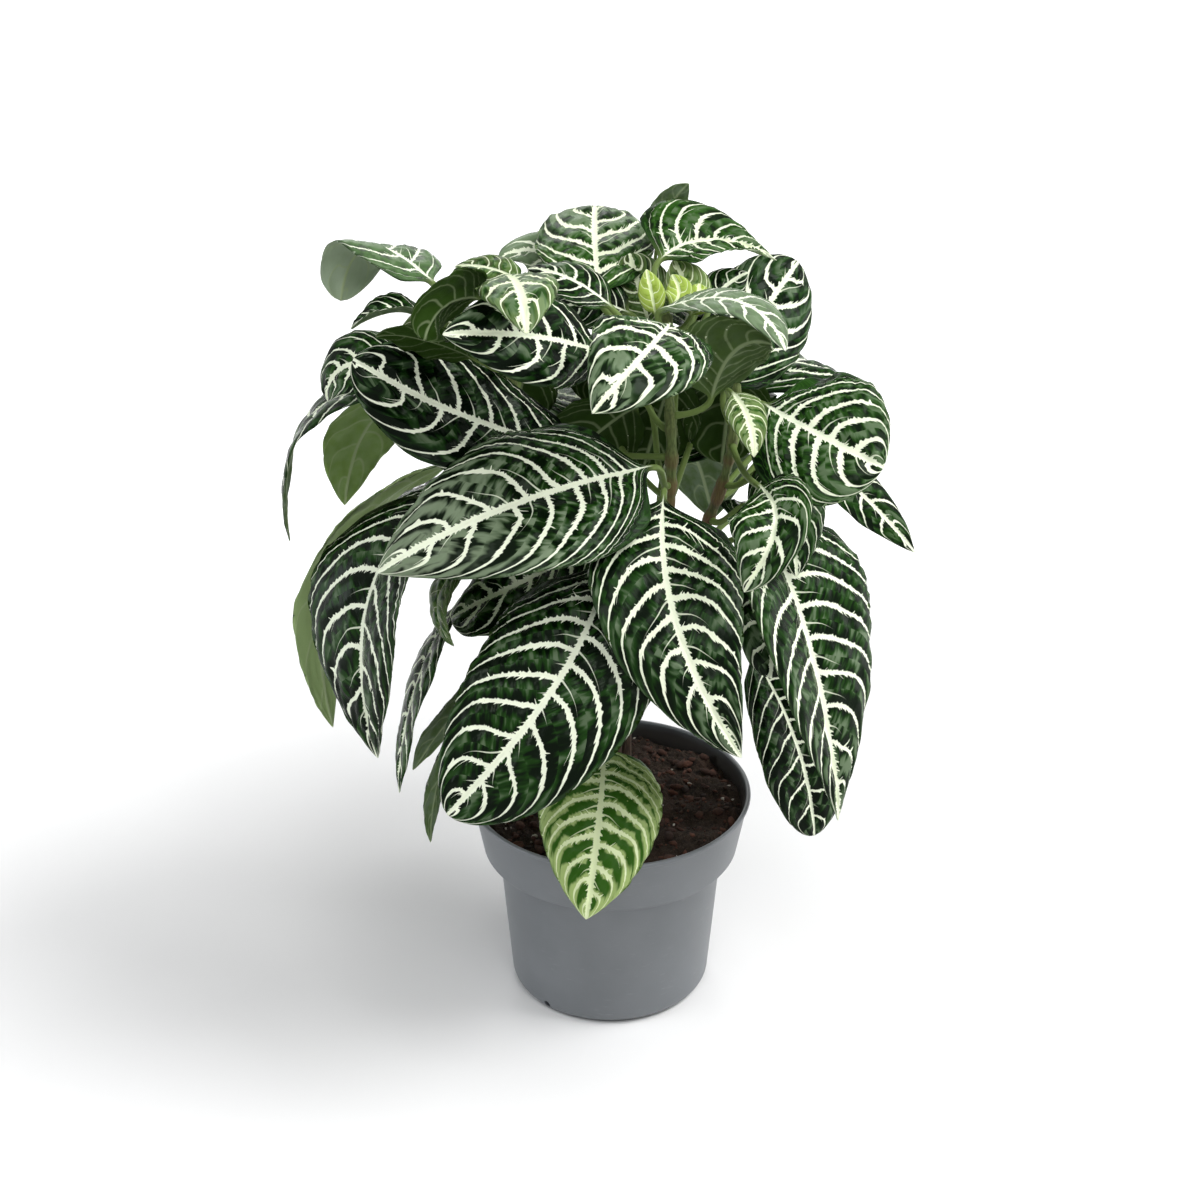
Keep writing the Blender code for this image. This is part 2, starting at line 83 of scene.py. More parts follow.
# Soil: close under the rim, and a little higher at the middle
SOIL_LEVEL = 93
SOIL_RISE = 3
SOIL_SEED = 71
SOIL_LUMPS = ((23, 1.3, 4), (9, 0.8, 6), (4.2, 0.5, 8), (2.1, 0.28, 8))  # size, rise and count of its waves
SOIL_RINGS = 110
SOIL_SIDES = 190
SOIL_DEPTH = 12  # how far below its edge the visible soil goes
SOIL_GAP = 0.4  # between the soil and the wall
SOIL_TAPER = 0.97  # its underside's radius, as a share of its top's
SOIL_SINK = 1.5  # how far it sinks against the wall
SINK_FROM = 0.93  # share of the radius at which it starts to sink
HEAP = 1.5  # how far it rises round a stem
HEAP_REACH = 2.2  # times the stem's radius

# Loose lumps on the soil
STREWN_REACH = 0.97  # share of the soil's radius
LUMP_LENGTH = (0.8, 1.7)  # between these shares of its size
LUMP_BREADTH = (0.6, 1)
LUMP_ROUGHNESS = 0.25
LUMP_TILT = 0.35  # spread of the tilt, in radians

# Stems: the points of each axis, and the radius at the bottom and at the top
STEM_STEPS = 24  # between each two points of the axis
STALK_AXIS_STEPS = 3  # on the axis that the stalks start from, which is the CAD solid's
STEM_SIDES = 32
STEM_DOME = 0.6  # how far the top stands out, as a share of its radius
STEM_RIPPLES = ((0.035, 5, 0.06), (0.02, 9, -0.11))  # share of the radius, count round it, turn upwards
NODE_SWELL = 0.32  # share of the radius
NODE_REACH = 2.6
MOST_SWELL = 1.2  # where nodes lie close together
SCAR_DEPTH = 0.08
SCAR_DROP = 2.5  # how far a leaf's ring scar lies under its node
SCAR_REACH = 0.5
MAIN, LEFT, RIGHT = "main_stem", "left_stem", "right_stem"
STEMS = {
    MAIN: (
        [(0, -2, 62), (2, -2, 130), (10, -2, 170), (20, 0, 215), (26, 0, 262), (25, 8, 300), (24, 12, 332)],
        4.2, 1.7,
    ),
    LEFT: (
        [(-12, 4, 62), (-14, 6, 130), (-26, 8, 190), (-38, 8, 240), (-42, 13, 285), (-46, 9, 344)],
        3.8, 1.6,
    ),
    RIGHT: (
        [(8, 9, 62), (7, 11, 130), (18, 13, 170), (38, 12, 220), (51, 8, 262), (54, 2, 304)],
        3.8, 1.6,
    ),
}

# Leaf outlines: how fast the half width grows from the base and how fast it closes at the tip
OVATE = (0.7, 0.92)
BROAD = (0.55, 0.92)
BLUNT = (0.6, 0.6)
FULL = (0.42, 0.6)
HEART = (0.42, 0.95)
LOBED = (0.42, 1.1)
TAPERED = (0.42, 1.6)

# Stalk
STALK_RADIUS = 1.4
YOUNG_STALK_RADIUS = 0.8
YOUNG_WIDTH = 20  # a narrower blade has the young stalk
STALK_REACH = 0.35  # how far the stalk runs straight at each end, as a share of its span
STALK_ROWS = 14
STALK_SUNK = 0.6  # how far it starts inside the stem
STALK_FLARE = 0.35  # how much wider it is there
FLARE_REACH = 2.5

# Blade section and relief
ROW_STEP = 1.35  # between rows along a blade
ROW_LIMITS = (36, 92)
COLUMN_STEP = 1.6  # between points across it
HALF_COLUMN_LIMITS = (11, 22)
EVEN_ROWS = 0.65  # the rest of the spacing draws the rows to both ends
MIDRIB_CROWDING = 1.15  # how the columns draw to the midrib (1 is not at all)
SKIN = 0.25  # from the middle of the blade's thickness to either face
LOWER_MIDRIB = 0.8  # how far the midrib stands out under the blade
LOWER_MIDRIB_REACH = 1.6
FUSED = 0.12  # share of the blade over which the round stalk flattens into it
FOLD_SOFTNESS = 0.04  # half the width of the fold, as a share of the half width
DROOP = 0.25  # how far the margins curve down, as a share of the half width
CALM_BASE = 0.15  # the relief fades in over this share of the blade
CALM_TIP = 0.9  # and out from this one to the tip
FULL_RELIEF_WIDTH = 50  # a narrower blade has a lower relief
PILLOW = 1.25  # rise of the skin between two side veins
RIDGE = 0.24  # ridges along the side veins
QUILT = 0.3  # rise of the lumps in a row between two side veins
QUILT_STEP = 8
CRUMPLE = 0.45
PUCKER = 0.07
WAVE_SHARE = 0.022  # height of the margin's waves, as a share of the width
SCALLOP = 0.018  # swell of the outline between two side veins
SIDE_SHIFT = 0.22  # the left and right veins leave the midrib this share of a step before and after
VEIN_WANDER = 0.09  # of a step
LEAST_PAIRS = 5  # of side veins, and one more for each PAIR_LENGTH of the blade
PAIR_LENGTH = 32
WIDEST_PITCH = 60  # the widest stored
FULL_PITCH = 10  # side veins that lie closer than this are narrower
MIDRIB_PLACES = (0, 0.3, 0.65, 0.9, 1)  # shares of the blade
MIDRIB_WIDTHS = (0.9, 1.2, 1.5, 1.35, 0.7)  # its white half widths there
YOUNG_LEAVES = (27, 32, 50, 51, 52)
MAP_EDGE = 0.01  # left free round each half of a leaf's map

# Blade pattern: noise above a level makes a side vein's teeth and spikes and the midrib's jags
TOOTH_FROM, TOOTH_RISE = 0.47, 3.6
SPIKE_FROM, SPIKE_RISE = 0.67, 24.0
JAG_FROM, JAG_RISE = 0.46, 6.5
VEIN_BLUR = 0.16  # half the width over which a vein's edge turns green
SHORT_VEIN = 0.55  # half width of a short vein at the midrib
SHORT_VEIN_WHITE = 0.75
STALK_FADE = (-1.0, 5.0)  # where along the blade the stalk's colour ends

# Base colours, linear
# Next to the veins the skin is DEEP_GREEN or FRESH_GREEN, partly its own dark green and partly a painted
# shade in the creases; the lit greens are painted light in the panels between
DEEP_GREEN = (0.0010, 0.0030, 0.0012)
FRESH_GREEN = (0.0030, 0.0120, 0.0020)
PAINTED_LIT_DARK_GREEN = (0.009, 0.037, 0.005)
PAINTED_LIT_GREEN = (0.028, 0.098, 0.009)
# painted sheen: the grey that greys the panels, more towards the tip
PAINTED_SHEEN_GREY = (0.24, 0.30, 0.20)
# painted sheen: the pale grey green of a leaf whose depth is below 0
PAINTED_SHEEN_PALE = (0.24, 0.31, 0.20)
YOUNG_GREEN = (0.028, 0.095, 0.007)
YOUNG_LIGHT = (0.38, 0.50, 0.18)
BUD_GREEN = (0.32, 0.44, 0.05)
LEAF_SHEEN = (0.82, 1, 0.78)
MARGIN_GREEN = (0.07, 0.14, 0.05)
VEIN_WHITE = (0.84, 0.89, 0.72)
VEIN_YOUNG = (0.76, 0.86, 0.50)
STALK_GREEN = (0.14, 0.20, 0.06)
UNDER_GREEN = (0.14, 0.22, 0.09)
UNDER_GREY = (0.26, 0.34, 0.24)
# painted light: the pale underside of a leaf whose depth is below 0
UNDER_PAINTED_LIGHT = (0.40, 0.48, 0.36)
# painted shade: the dark underside of a leaf whose depth is high
UNDER_PAINTED_SHADE = (0.018, 0.042, 0.005)
UNDER_YOUNG = (0.24, 0.36, 0.09)
UNDER_VEIN = (0.38, 0.46, 0.26)
BARK_DARK = (0.035, 0.022, 0.014)
BARK_BROWN = (0.085, 0.055, 0.034)
BARK_GREEN = (0.065, 0.095, 0.024)
BARK_OLIVE = (0.13, 0.17, 0.055)
NODE_RED = (0.16, 0.055, 0.030)
GREEN_FROM = 240  # height at which the bark turns green
GREEN_OVER = 24  # height over which it turns
POT_GREY = (0.135, 0.147, 0.158)
POT_PALE = (0.160, 0.172, 0.184)
POT_SCUFF = (0.30, 0.31, 0.32)
# painted shade on the pot's inner wall under the rim
POT_PAINTED_SHADE = (0.040, 0.032, 0.026)
SOIL_BLACK = (0.012, 0.008, 0.006)
SOIL_DARK = (0.024, 0.016, 0.011)
SOIL_WARM = (0.046, 0.026, 0.018)
SOIL_LIGHT = (0.085, 0.060, 0.044)
CHIP_RED = (0.095, 0.040, 0.026)
PERLITE_GREY = (0.30, 0.27, 0.23)
PERLITE_WHITE = (0.62, 0.58, 0.52)

# Loose lumps: piece; finish, its two colours and its roughness; seed of the random draws, count, least
# and greatest size, least and greatest flatness, and how far a lump stands out, as a share of its height
STREWN = (
    ("bark_chips", ("bark_chip", SOIL_BLACK, CHIP_RED, 0.85), 5, 820, (0.6, 3.4), (0.3, 0.7), 0.3),
    ("perlite", ("perlite_grain", PERLITE_GREY, PERLITE_WHITE, 0.8), 9, 60, (0.5, 1.5), (0.7, 1), 0.4),
)

# Studio, in metres
LENS = 82.1
SENSOR_WIDTH = 36
CAMERA_PLACE = (-0.0048, -1.0767, 0.7764)
CAMERA_PITCH = 28.15  # degrees below level
FLOOR_REACH = 6
FLOOR_SHADE = 0.86
FLOOR_GLOWS = ((0.08, 0.6, 0.42), (0.6, 2.4, 0.5))  # between two distances from the pot, and by how much
WHITE = (1, 1, 1)
SKY_STRENGTH = 0.18
LAMP_TARGET = (0, 0, 0.2)
# name, place, diameter, power and colour
LAMPS = (
    ("key", (1.3, -0.15, 1.75), 1.3, 40, WHITE),
    ("front", (0.3, -1.5, 2.0), 1.3, 20, WHITE),
    ("back", (-0.3, 1.7, 1.3), 0.9, 7, WHITE),
    ("left", (-1.7, -0.1, 0.4), 0.9, 8, (0.88, 0.93, 1)),
    ("window", (-1.3, -0.7, 1.9), 0.6, 8, WHITE),
    ("right", (1.7, 0.3, 0.4), 0.8, 5, WHITE),
)

# Leaves: number, stem and height of the node, then three points of the midrib (where the blade starts,
# its middle and its tip), the way the upper face looks at the base and at the tip, the greatest
# width, the outline, and how many degrees the left and the right half fold up
Leaf = namedtuple("Leaf", "number stem node start middle tip base_face tip_face width edge folds",
                  defaults=(OVATE, (12, 12)))
LEAF_ROWS = [
    # the large leaves at the front and on the left
    (1, MAIN, 258, (17, -22, 276), (-43, -58, 275), (-97, -75, 253), (-2, -6, 8), (-3, -7, 7), 74, BROAD),
    (2, MAIN, 270, (-11, 5, 271), (-63, -19, 299), (-107, -31, 330), (-1, -6, 8), (-3, -6, 7), 56, BLUNT),
    (3, MAIN, 222, (-1, -40, 243), (-21, -84, 209), (-69, -105, 154), (-2, -6, 8), (-3, -9, 3), 78, FULL),
    (4, MAIN, 244, (22, -34, 268), (27, -82, 232), (54, -105, 182), (1, -5, 8), (1, -9, 4), 66, HEART),
    (5, MAIN, 114, (-3, -12, 132), (-5, -52, 120), (-11, -78, 82), (0, -2, 8), (0, -8, 4), 56),
    (6, LEFT, 244, (-65, -5, 256), (-103, -41, 226), (-102, -53, 150),
     (-4, -4, 8), (-5, -8, 0), 76, OVATE, (40, 0)),
    (7, LEFT, 252, (-64, 15, 263), (-121, 5, 220), (-127, 0, 134), (-5, 4, 8), (-7, 7, 0), 44, BROAD),
    (8, LEFT, 186, (-67, 10, 195), (-88, 0, 156), (-97, -10, 105), (-8, -1, 4), (-8, -3, 0), 30),
    (9, LEFT, 206, (-63, 5, 218), (-77, 0, 200), (-70, -8, 181), (-8, -2, 4), (-8, -4, 0), 24),
    (10, LEFT, 160, (-41, 20, 169), (-68, 10, 142), (-92, 10, 105), (-5, 5, 5), (-5, 5, 3), 34),
    (11, LEFT, 150, (-41, 0, 168), (-72, -15, 134), (-82, -30, 91), (-8, 4, 5), (-8, 4, 0), 30),
    (12, LEFT, 274, (-75, 30, 290), (-134, 45, 270), (-148, 50, 204), (-5, 1, 8), (-9, 0, 3), 30),
    (13, LEFT, 264, (-72, 42, 276), (-107, 68, 260), (-125, 80, 208), (-4, 7, 5), (-4, 8, 1), 44),
    # the crown
    (14, LEFT, 324, (-75, 0, 351), (-104, 30, 356), (-117, 28, 332), (1, -2, 8), (-3, 9, 2), 38, BLUNT),
    (15, LEFT, 332, (-55, -20, 353), (-68, -39, 357), (-76, -52, 347), (-2, 8, 2), (-2, 8, 4), 38, BLUNT),
    (16, LEFT, 338, (-43, -18, 361), (-37, -49, 367), (-34, -70, 357), (0, -3, 8), (1, -7, 6), 34),
    (17, MAIN, 304, (-4, -15, 326), (-34, -40, 344), (-68, -60, 353), (0, -6, 6), (0, -7, 5), 44),
    (18, LEFT, 314, (-78, 2, 333), (-92, -4, 340), (-110, -4, 332),
     (-1, -4, 8), (-3, -4, 8), 24, OVATE, (65, 12)),
    (19, LEFT, 300, (-88, 22, 304), (-115, 22, 304), (-124, 22, 287), (-2, -5, 8), (-7, -5, 3), 34),
    (20, MAIN, 322, (-5, 30, 333), (-7, 60, 346), (-7, 98, 350), (0, -6, 7), (0, -2, 8), 54, BLUNT),
    (21, MAIN, 328, (21, 35, 348), (43, 45, 353), (72, 40, 346),
     (0, -7, 5), (2, -6, 6), 46, TAPERED, (5, 58)),
    (22, RIGHT, 284, (49, 10, 297), (64, 35, 319), (83, 62, 337), (1, -7, 4), (2, -7, 4), 48, BLUNT),
    (23, MAIN, 326, (21, 9, 335), (53, -3, 344), (72, -30, 333), (0, 0, 8), (3, -2, 8), 28),
    (24, MAIN, 288, (43, 5, 296), (52, -6, 323), (67, -20, 332), (0, 9, 1), (-1, 9, 1), 49, OVATE, (40, 18)),
    (25, MAIN, 312, (24, -22, 341), (14, -56, 344), (-8, -86, 330), (1, -4, 8), (0, -7, 6), 51, BROAD),
    (26, MAIN, 318, (0, 5, 338), (-17, 12, 348), (-36, 22, 349), (0, -3, 8), (0, -2, 8), 24),
    (27, LEFT, 340, (-38, 5, 350), (-52, 15, 352), (-67, 25, 349), (0, -4, 8), (-2, -3, 8), 18),
    (28, MAIN, 316, (0, 50, 322), (-29, 79, 334), (-51, 75, 331), (-1, -5, 8), (-4, -3, 8), 36),
    (29, MAIN, 308, (5, 55, 316), (-18, 100, 335), (-34, 118, 328), (-1, -5, 8), (-4, -3, 8), 34),
    (30, MAIN, 312, (39, 36, 327), (49, 56, 323), (65, 68, 316), (0, -2, 8), (1, -2, 8), 24),
    # the right side
    (31, RIGHT, 290, (65, -10, 300), (91, -30, 293), (114, -41, 285), (1, -7, 6), (2, -7, 5), 66, BLUNT),
    (32, RIGHT, 300, (50, -36, 317), (56, -55, 313), (58, -65, 301), (0, -7, 6), (1, -7, 5), 17),
    (33, RIGHT, 274, (62, -45, 278), (67, -76, 275), (54, -90, 252),
     (0, -6, 7), (0, -8, 5), 40, OVATE, (45, 8)),
    (34, RIGHT, 254, (70, -3, 269), (75, -23, 262), (79, -42, 234), (2, -6, 7), (3, -8, 4), 35),
    (35, RIGHT, 236, (62, -10, 250), (85, -45, 203), (100, -60, 122),
     (3, -4, 8), (5, -8, 2), 84, LOBED, (8, 40)),
    (36, RIGHT, 246, (85, 38, 260), (113, 40, 234), (139, 35, 206), (2, -6, 7), (3, -7, 5), 24),
    (37, RIGHT, 164, (63, 10, 169), (84, -5, 131), (94, -15, 85), (3, -6, 5), (3, -8, 3), 50, BLUNT, (8, 28)),
    (38, MAIN, 234, (-5, -20, 238), (-35, -28, 226), (-70, -22, 203), (-1, -4, 8), (-3, -3, 8), 50, BLUNT),
    # the back
    (39, RIGHT, 250, (66, 42, 254), (94, 74, 250), (112, 92, 208), (2, -1, 8), (6, 2, 5), 48),
    (40, RIGHT, 266, (64, 42, 280), (90, 78, 282), (107, 102, 238), (1, 0, 8), (5, 4, 6), 54),
    (41, MAIN, 246, (36, 42, 258), (50, 92, 262), (56, 128, 222), (0, 0, 8), (1, 6, 6), 58),
    (42, MAIN, 250, (2, 42, 262), (-12, 90, 263), (-20, 130, 222), (0, 0, 8), (-1, 6, 6), 60),
    (43, LEFT, 256, (-46, 42, 273), (-65, 84, 271), (-80, 110, 225), (-1, 0, 8), (-4, 5, 6), 54),
    (44, MAIN, 224, (24, 40, 244), (36, 82, 240), (50, 110, 186), (0, 1, 8), (2, 7, 4), 56),
    (45, LEFT, 222, (-36, 42, 240), (-42, 84, 228), (-48, 112, 172), (0, 1, 8), (-2, 7, 4), 56),
    (46, RIGHT, 206, (54, 44, 218), (80, 72, 202), (100, 86, 150), (1, 1, 8), (5, 6, 4), 52),
    (47, LEFT, 236, (-62, 34, 238), (-86, 58, 228), (-102, 74, 202), (-2, 1, 8), (-5, 5, 4), 40),
    (48, MAIN, 302, (32, 38, 314), (40, 80, 312), (46, 114, 284), (0, 0, 8), (1, 5, 7), 44),
    (49, LEFT, 314, (-40, 34, 324), (-48, 68, 314), (-54, 90, 294), (0, 0, 8), (-2, 5, 7), 42),
    # the young leaves at the growing tip of the main stem
    (50, MAIN, 326, (19, 15, 331), (17, 17, 341), (15, 22, 349), (0, -8, 2), (0, -8, 2), 12),
    (51, MAIN, 330, (25, 16, 334), (29, 20, 339), (26, 26, 345), (0, -8, 3), (0, -8, 3), 13),
    (52, MAIN, 324, (34, 16, 330), (37, 21, 337), (38, 28, 340), (0, -8, 3), (0, -8, 3), 14),
    # between the others: under the crown, behind its top and behind the stems
    (53, LEFT, 310, (-57, -14, 323), (-80, -23, 336), (-98, -26, 338), (0, 6, 4), (0, 6, 4), 25),
    (54, MAIN, 320, (20, 57, 345), (25, 64, 360), (34, 60, 374), (0, 7, -3), (-1, 7, -2), 16),
    (55, MAIN, 282, (6, 30, 304), (2, 42, 290), (0, 46, 268), (0, 8, 3), (0, 8, 2), 44),
]
# Leaves that only fill the dark gaps behind the stems, with no CAD solid of their own; those with
# depth 1 are painted dark, a painted shade
MORE_LEAF_ROWS = [
    (56, MAIN, 256, (12, 26, 284), (-6, 31, 268), (-24, 34, 246), (0, 8, 3), (0, 8, 2), 44, BLUNT),
    (57, RIGHT, 278, (52, 30, 300), (52, 38, 278), (50, 42, 248), (0, 8, 3), (0, 8, 2), 42, BLUNT),
    (58, MAIN, 268, (27, 30, 296), (22, 37, 276), (15, 43, 246), (0, 8, 3), (0, 8, 2), 40, BLUNT),
    (59, MAIN, 324, (35, 24, 327), (33, 30, 336), (27, 37, 348), (0, -7, 3), (0, -7, 3), 22),
    (60, MAIN, 320, (42, 30, 326), (48, 38, 333), (60, 46, 338), (-1, -6, 5), (-1, -6, 5), 20),
    (61, MAIN, 316, (17, 32, 318), (13, 40, 331), (8, 46, 347), (-1, -7, 4), (-1, -7, 4), 28, BLUNT),
    (62, LEFT, 296, (-36, 26, 308), (-39, 31, 293), (-45, 36, 268), (0, 8, 3), (0, 8, 2), 34, BLUNT),
    (63, MAIN, 312, (8, 28, 326), (-8, 33, 329), (-26, 36, 324), (0, -5, 6), (0, -5, 6), 26),
    (64, LEFT, 306, (-62, 22, 322), (-76, 26, 323), (-92, 28, 316), (-1, -5, 6), (-1, -5, 6), 22),
    (65, RIGHT, 226, (72, -14, 238), (71, -26, 211), (70, -35, 180), (0, -8, 3), (0, -9, 1), 34, BLUNT),
]
LEAVES = [Leaf(*row) for row in LEAF_ROWS + MORE_LEAF_ROWS]

# Looks of a leaf: side veins on each half (0 takes them from its length), how they crowd to the base
# (1 is not at all), how far they sweep forward by the margin as a share of the half width, how wide
# they and the midrib are, how young (light green) its skin is, how dark and deep its green is (high,
# it paints the underside dark, a painted shade; below 0 it paints the skin pale, a painted sheen and
# a painted light), and how much painted sheen greys it towards the tip
Looks = namedtuple("Looks", "pairs crowding sweep vein midrib youth depth sheen", defaults=(0.15,))
PLAIN = Looks(0, 0.68, 1.1, 0.95, 0.9, 0.12, 0.75)
LOOKS = {
    1: Looks(10.5, 0.57, 1.15, 1, 1, 0.05, 0.75, 1),
    2: Looks(8.5, 0.65, 1.15, 0.85, 0.85, 0, 1, 0.3),
    3: Looks(10.5, 0.75, 1, 1, 0.95, 0.05, 0.9),
    4: Looks(10, 0.7, 1, 1, 0.95, 0.15, 0.9, 0.4),
    5: Looks(10.5, 0.8, 0.8, 1.1, 0.9, 0.85, 0),
    6: Looks(9.5, 0.7, 1.2, 0.95, 0.7, 0.05, 0.9),
    7: Looks(8, 0.7, 1.1, 1, 1, 0.7, -0.6),
    9: Looks(7, 0.7, 1.1, 0.25, 0.3, 0.45, 0.2),
    13: Looks(7, 0.7, 1.1, 1, 1, 0.7, 0.3),
    14: Looks(5, 0.7, 1.1, 0.8, 0.9, 0.05, -0.4),
    15: Looks(6, 0.7, 1.1, 0.9, 1, 0.4, 1),
    16: Looks(5.5, 0.7, 1.1, 1.1, 1.5, 0.42, 0.2, 0.4),
    17: Looks(5.5, 0.7, 1.1, 1, 0.9, 0.1, 1, 0.4),
    20: Looks(6.2, 0.75, 0.9, 1.15, 0.85, 0.3, 0.3, 0.5),
    21: Looks(7.5, 0.8, 0.6, 1, 1, 0.25, 0.3),
    22: Looks(6.5, 0.7, 1.1, 1, 0.8, 0.15, 0.8),
    23: Looks(7, 0.7, 1.1, 1, 1, 0, -0.6),
    24: Looks(7, 0.7, 1.1, 1, 1, 0.5, 0.81),
    25: Looks(6, 0.68, 1.1, 1.3, 0.8, 0.2, 0.6, 0.6),
    27: Looks(6, 0.7, 1.1, 0.7, 0.8, 0.42, 0.3),
    31: Looks(6.3, 0.72, 1, 1.15, 0.9, 0.15, 0.5, 0.3),
    32: Looks(7, 0.7, 1.1, 1.1, 1.5, 0.5, 0.2),
    33: Looks(7.5, 0.7, 1, 1, 1, 0.2, 0.5, 0.35),
    35: Looks(10.5, 0.8, 0.65, 1.05, 1.05, 0.1, 0.75, 0.45),
    37: Looks(9, 0.8, 0.8, 0.55, 0.6, 0.1, 1, 0.3),
    59: Looks(6, 0.7, 1.1, 0.9, 0.9, 0.55, 0.2),
    60: Looks(6, 0.7, 1.1, 0.9, 0.9, 0.1, 0.8),
    61: Looks(7, 0.7, 1.1, 1, 1, 0.4, 0.3),
    63: Looks(6, 0.7, 1.1, 0.7, 0.7, 0.1, 1),
    65: Looks(6, 0.8, 0.7, 1, 0.9, 0.1, 0.75, 0.45),
    **dict.fromkeys((28, 29), Looks(6, 0.7, 1.1, 1, 1, 0.1, -0.6)),
    **dict.fromkeys((50, 51, 52), Looks(5, 0.7, 1.1, 0.7, 1, 1, 0)),
    # painted shade: with depth 1 the leaves that fill the gaps under the crown and behind the stems are
    # painted dark
    **dict.fromkeys((53, 64), Looks(6, 0.7, 1.1, 0.3, 0.4, 0.4, 1)),
    **dict.fromkeys((55, 56, 57, 58, 62), Looks(6, 0.7, 1.1, 1, 1, 0.1, 1)),
}


def unit(vectors):
    return vectors / np.linalg.norm(vectors, axis=-1, keepdims=True)


def smooth_step(share):
    """3x^2 - 2x^3 between 0 and 1, and level outside."""
    share = np.clip(share, 0, 1)
    return share * share * (3 - 2 * share)


def raised_by(base, direction, height):
    """The points, moved along their directions by their heights."""
    return base + direction * height[..., None]


def new_piece(name, points, faces, surfaces, stands_for=None):
    """A smooth mesh from points in millimetres and arrays of faces, riding on the plant's one body."""
    mesh = bpy.data.meshes.new(name)
    mesh.from_pydata((points * MM).tolist(), [], [face for kind in faces for face in kind.tolist()])
    mesh.shade_smooth()
    for surface in surfaces:
        mesh.materials.append(surface)
    piece = bpy.data.objects.new(name, mesh)
    bpy.context.scene.collection.objects.link(piece)
    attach(piece, "root")
    if stands_for:
        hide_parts(stands_for)
    return piece


def add_attribute(mesh, name, values):
    """A vector stored at each point, from three arrays."""
    stored = mesh.attributes.new(name, "FLOAT_VECTOR", "POINT")
    stored.data.foreach_set("vector", np.stack(values, axis=-1).astype(np.float32).ravel())


def tube_faces(rows, sides):
    """Quads between the rows of a tube, and fans to the two points that follow them and close its ends."""
    corner = np.arange(rows * sides).reshape(rows, sides)
    following = np.roll(corner, -1, axis=1)
    quads = np.stack([corner[:-1], following[:-1], following[1:], corner[1:]], axis=-1).reshape(-1, 4)
    low, high = rows * sides, rows * sides + 1
    start = np.stack([following[0], corner[0], np.full(sides, low)], axis=-1)
    end = np.stack([corner[-1], following[-1], np.full(sides, high)], axis=-1)
    return [quads, start, end]


# ---------------------------------------------------------------- stems


def smooth_path(points, steps):
    """A Catmull-Rom curve through the points, with this many steps between each two."""
    points = np.array(points, float)
    ends = np.vstack([2 * points[0] - points[1], points, 2 * points[-1] - points[-2]])
    t = np.linspace(0, 1, steps, endpoint=False)[:, None]
    spans = []
    for a, b, c, d in zip(ends, ends[1:], ends[2:], ends[3:]):
        spans.append(0.5 * (2 * b + (c - a) * t + (2 * a - 5 * b + 4 * c - d) * t**2
                            + (3 * b - a - 3 * c + d) * t**3))
    return np.vstack(spans + [points[-1:]])


def stem_axis(name, steps):
    """The stem's smooth axis, and its radius at each of its points."""
    points, low_radius, high_radius = STEMS[name]
    axis = smooth_path(points, steps)
    share = (axis[:, 2] - axis[0, 2]) / (axis[-1, 2] - axis[0, 2])
    return axis, low_radius + (high_radius - low_radius) * share


def grown_stem(name, bark):
    """A tube round the stem's axis. Its radius swells by a bell curve at the height of each leaf's node,
    with a fine ring scar under it, and ripples gently round and along the stem."""
    axis, radii = stem_axis(name, STEM_STEPS)
    along = unit(np.gradient(axis, axis=0))
    side = unit(np.cross(along, (0, 1, 0)))
    front = np.cross(along, side)
    height = axis[:, 2]
    nodes = [leaf.node for leaf in LEAVES if leaf.stem == name]
    swell = sum(np.exp(-(((height - node) / NODE_REACH) ** 2)) for node in nodes)
    scar = sum(np.exp(-(((height - node + SCAR_DROP) / SCAR_REACH) ** 2)) for node in nodes)
    turn = np.linspace(0, math.tau, STEM_SIDES, endpoint=False)
    ripple = sum(rise * np.sin(count * turn + twist * height[:, None]) for rise, count, twist in STEM_RIPPLES)
    size = radii * (1 + NODE_SWELL * np.minimum(swell, MOST_SWELL) - SCAR_DEPTH * np.minimum(scar, 1))
    size = size[:, None] * (1 + ripple)
    rings = raised_by(raised_by(axis[:, None], side[:, None], size * np.cos(turn)),
                      front[:, None], size * np.sin(turn))
    dome = axis[-1:] + along[-1:] * radii[-1] * STEM_DOME
    points = np.vstack([rings.reshape(-1, 3), axis[:1], dome])
    piece = new_piece("grown_" + name, points, tube_faces(len(axis), STEM_SIDES), [bark], name)
    node = np.append(np.repeat(np.minimum(swell, 1), STEM_SIDES), (0, 0))
    add_attribute(piece.data, "node", (node, 0 * node, 0 * node))


# ---------------------------------------------------------------- leaves


def bent_line(leaf, shares):
    """Points and directions on a parabola through the midrib's three points, at shares of its length,
    and its length."""
    start, middle, tip = (np.array(point, float) for point in (leaf.start, leaf.middle, leaf.tip))
    pull = 2 * middle - (start + tip) / 2

    def place(t):
        t = np.asarray(t)[..., None]
        return (1 - t) ** 2 * start + 2 * t * (1 - t) * pull + t**2 * tip

    steps = np.linspace(0, 1, 401)
    lengths = np.append(0, np.cumsum(np.linalg.norm(np.diff(place(steps), axis=0), axis=1)))
    t = np.interp(np.asarray(shares) * lengths[-1], lengths, steps)
    along = 2 * (1 - t[:, None]) * (pull - start) + 2 * t[:, None] * (tip - pull)
    return place(t), unit(along), lengths[-1]


def outline(shares, growth, closing):
    """The half width of a leaf as a share of its widest: u^growth * (1 - u)^closing, scaled to reach 1."""
    widest = growth / (growth + closing)
    return shares**growth * (1 - shares) ** closing / (widest**growth * (1 - widest) ** closing)


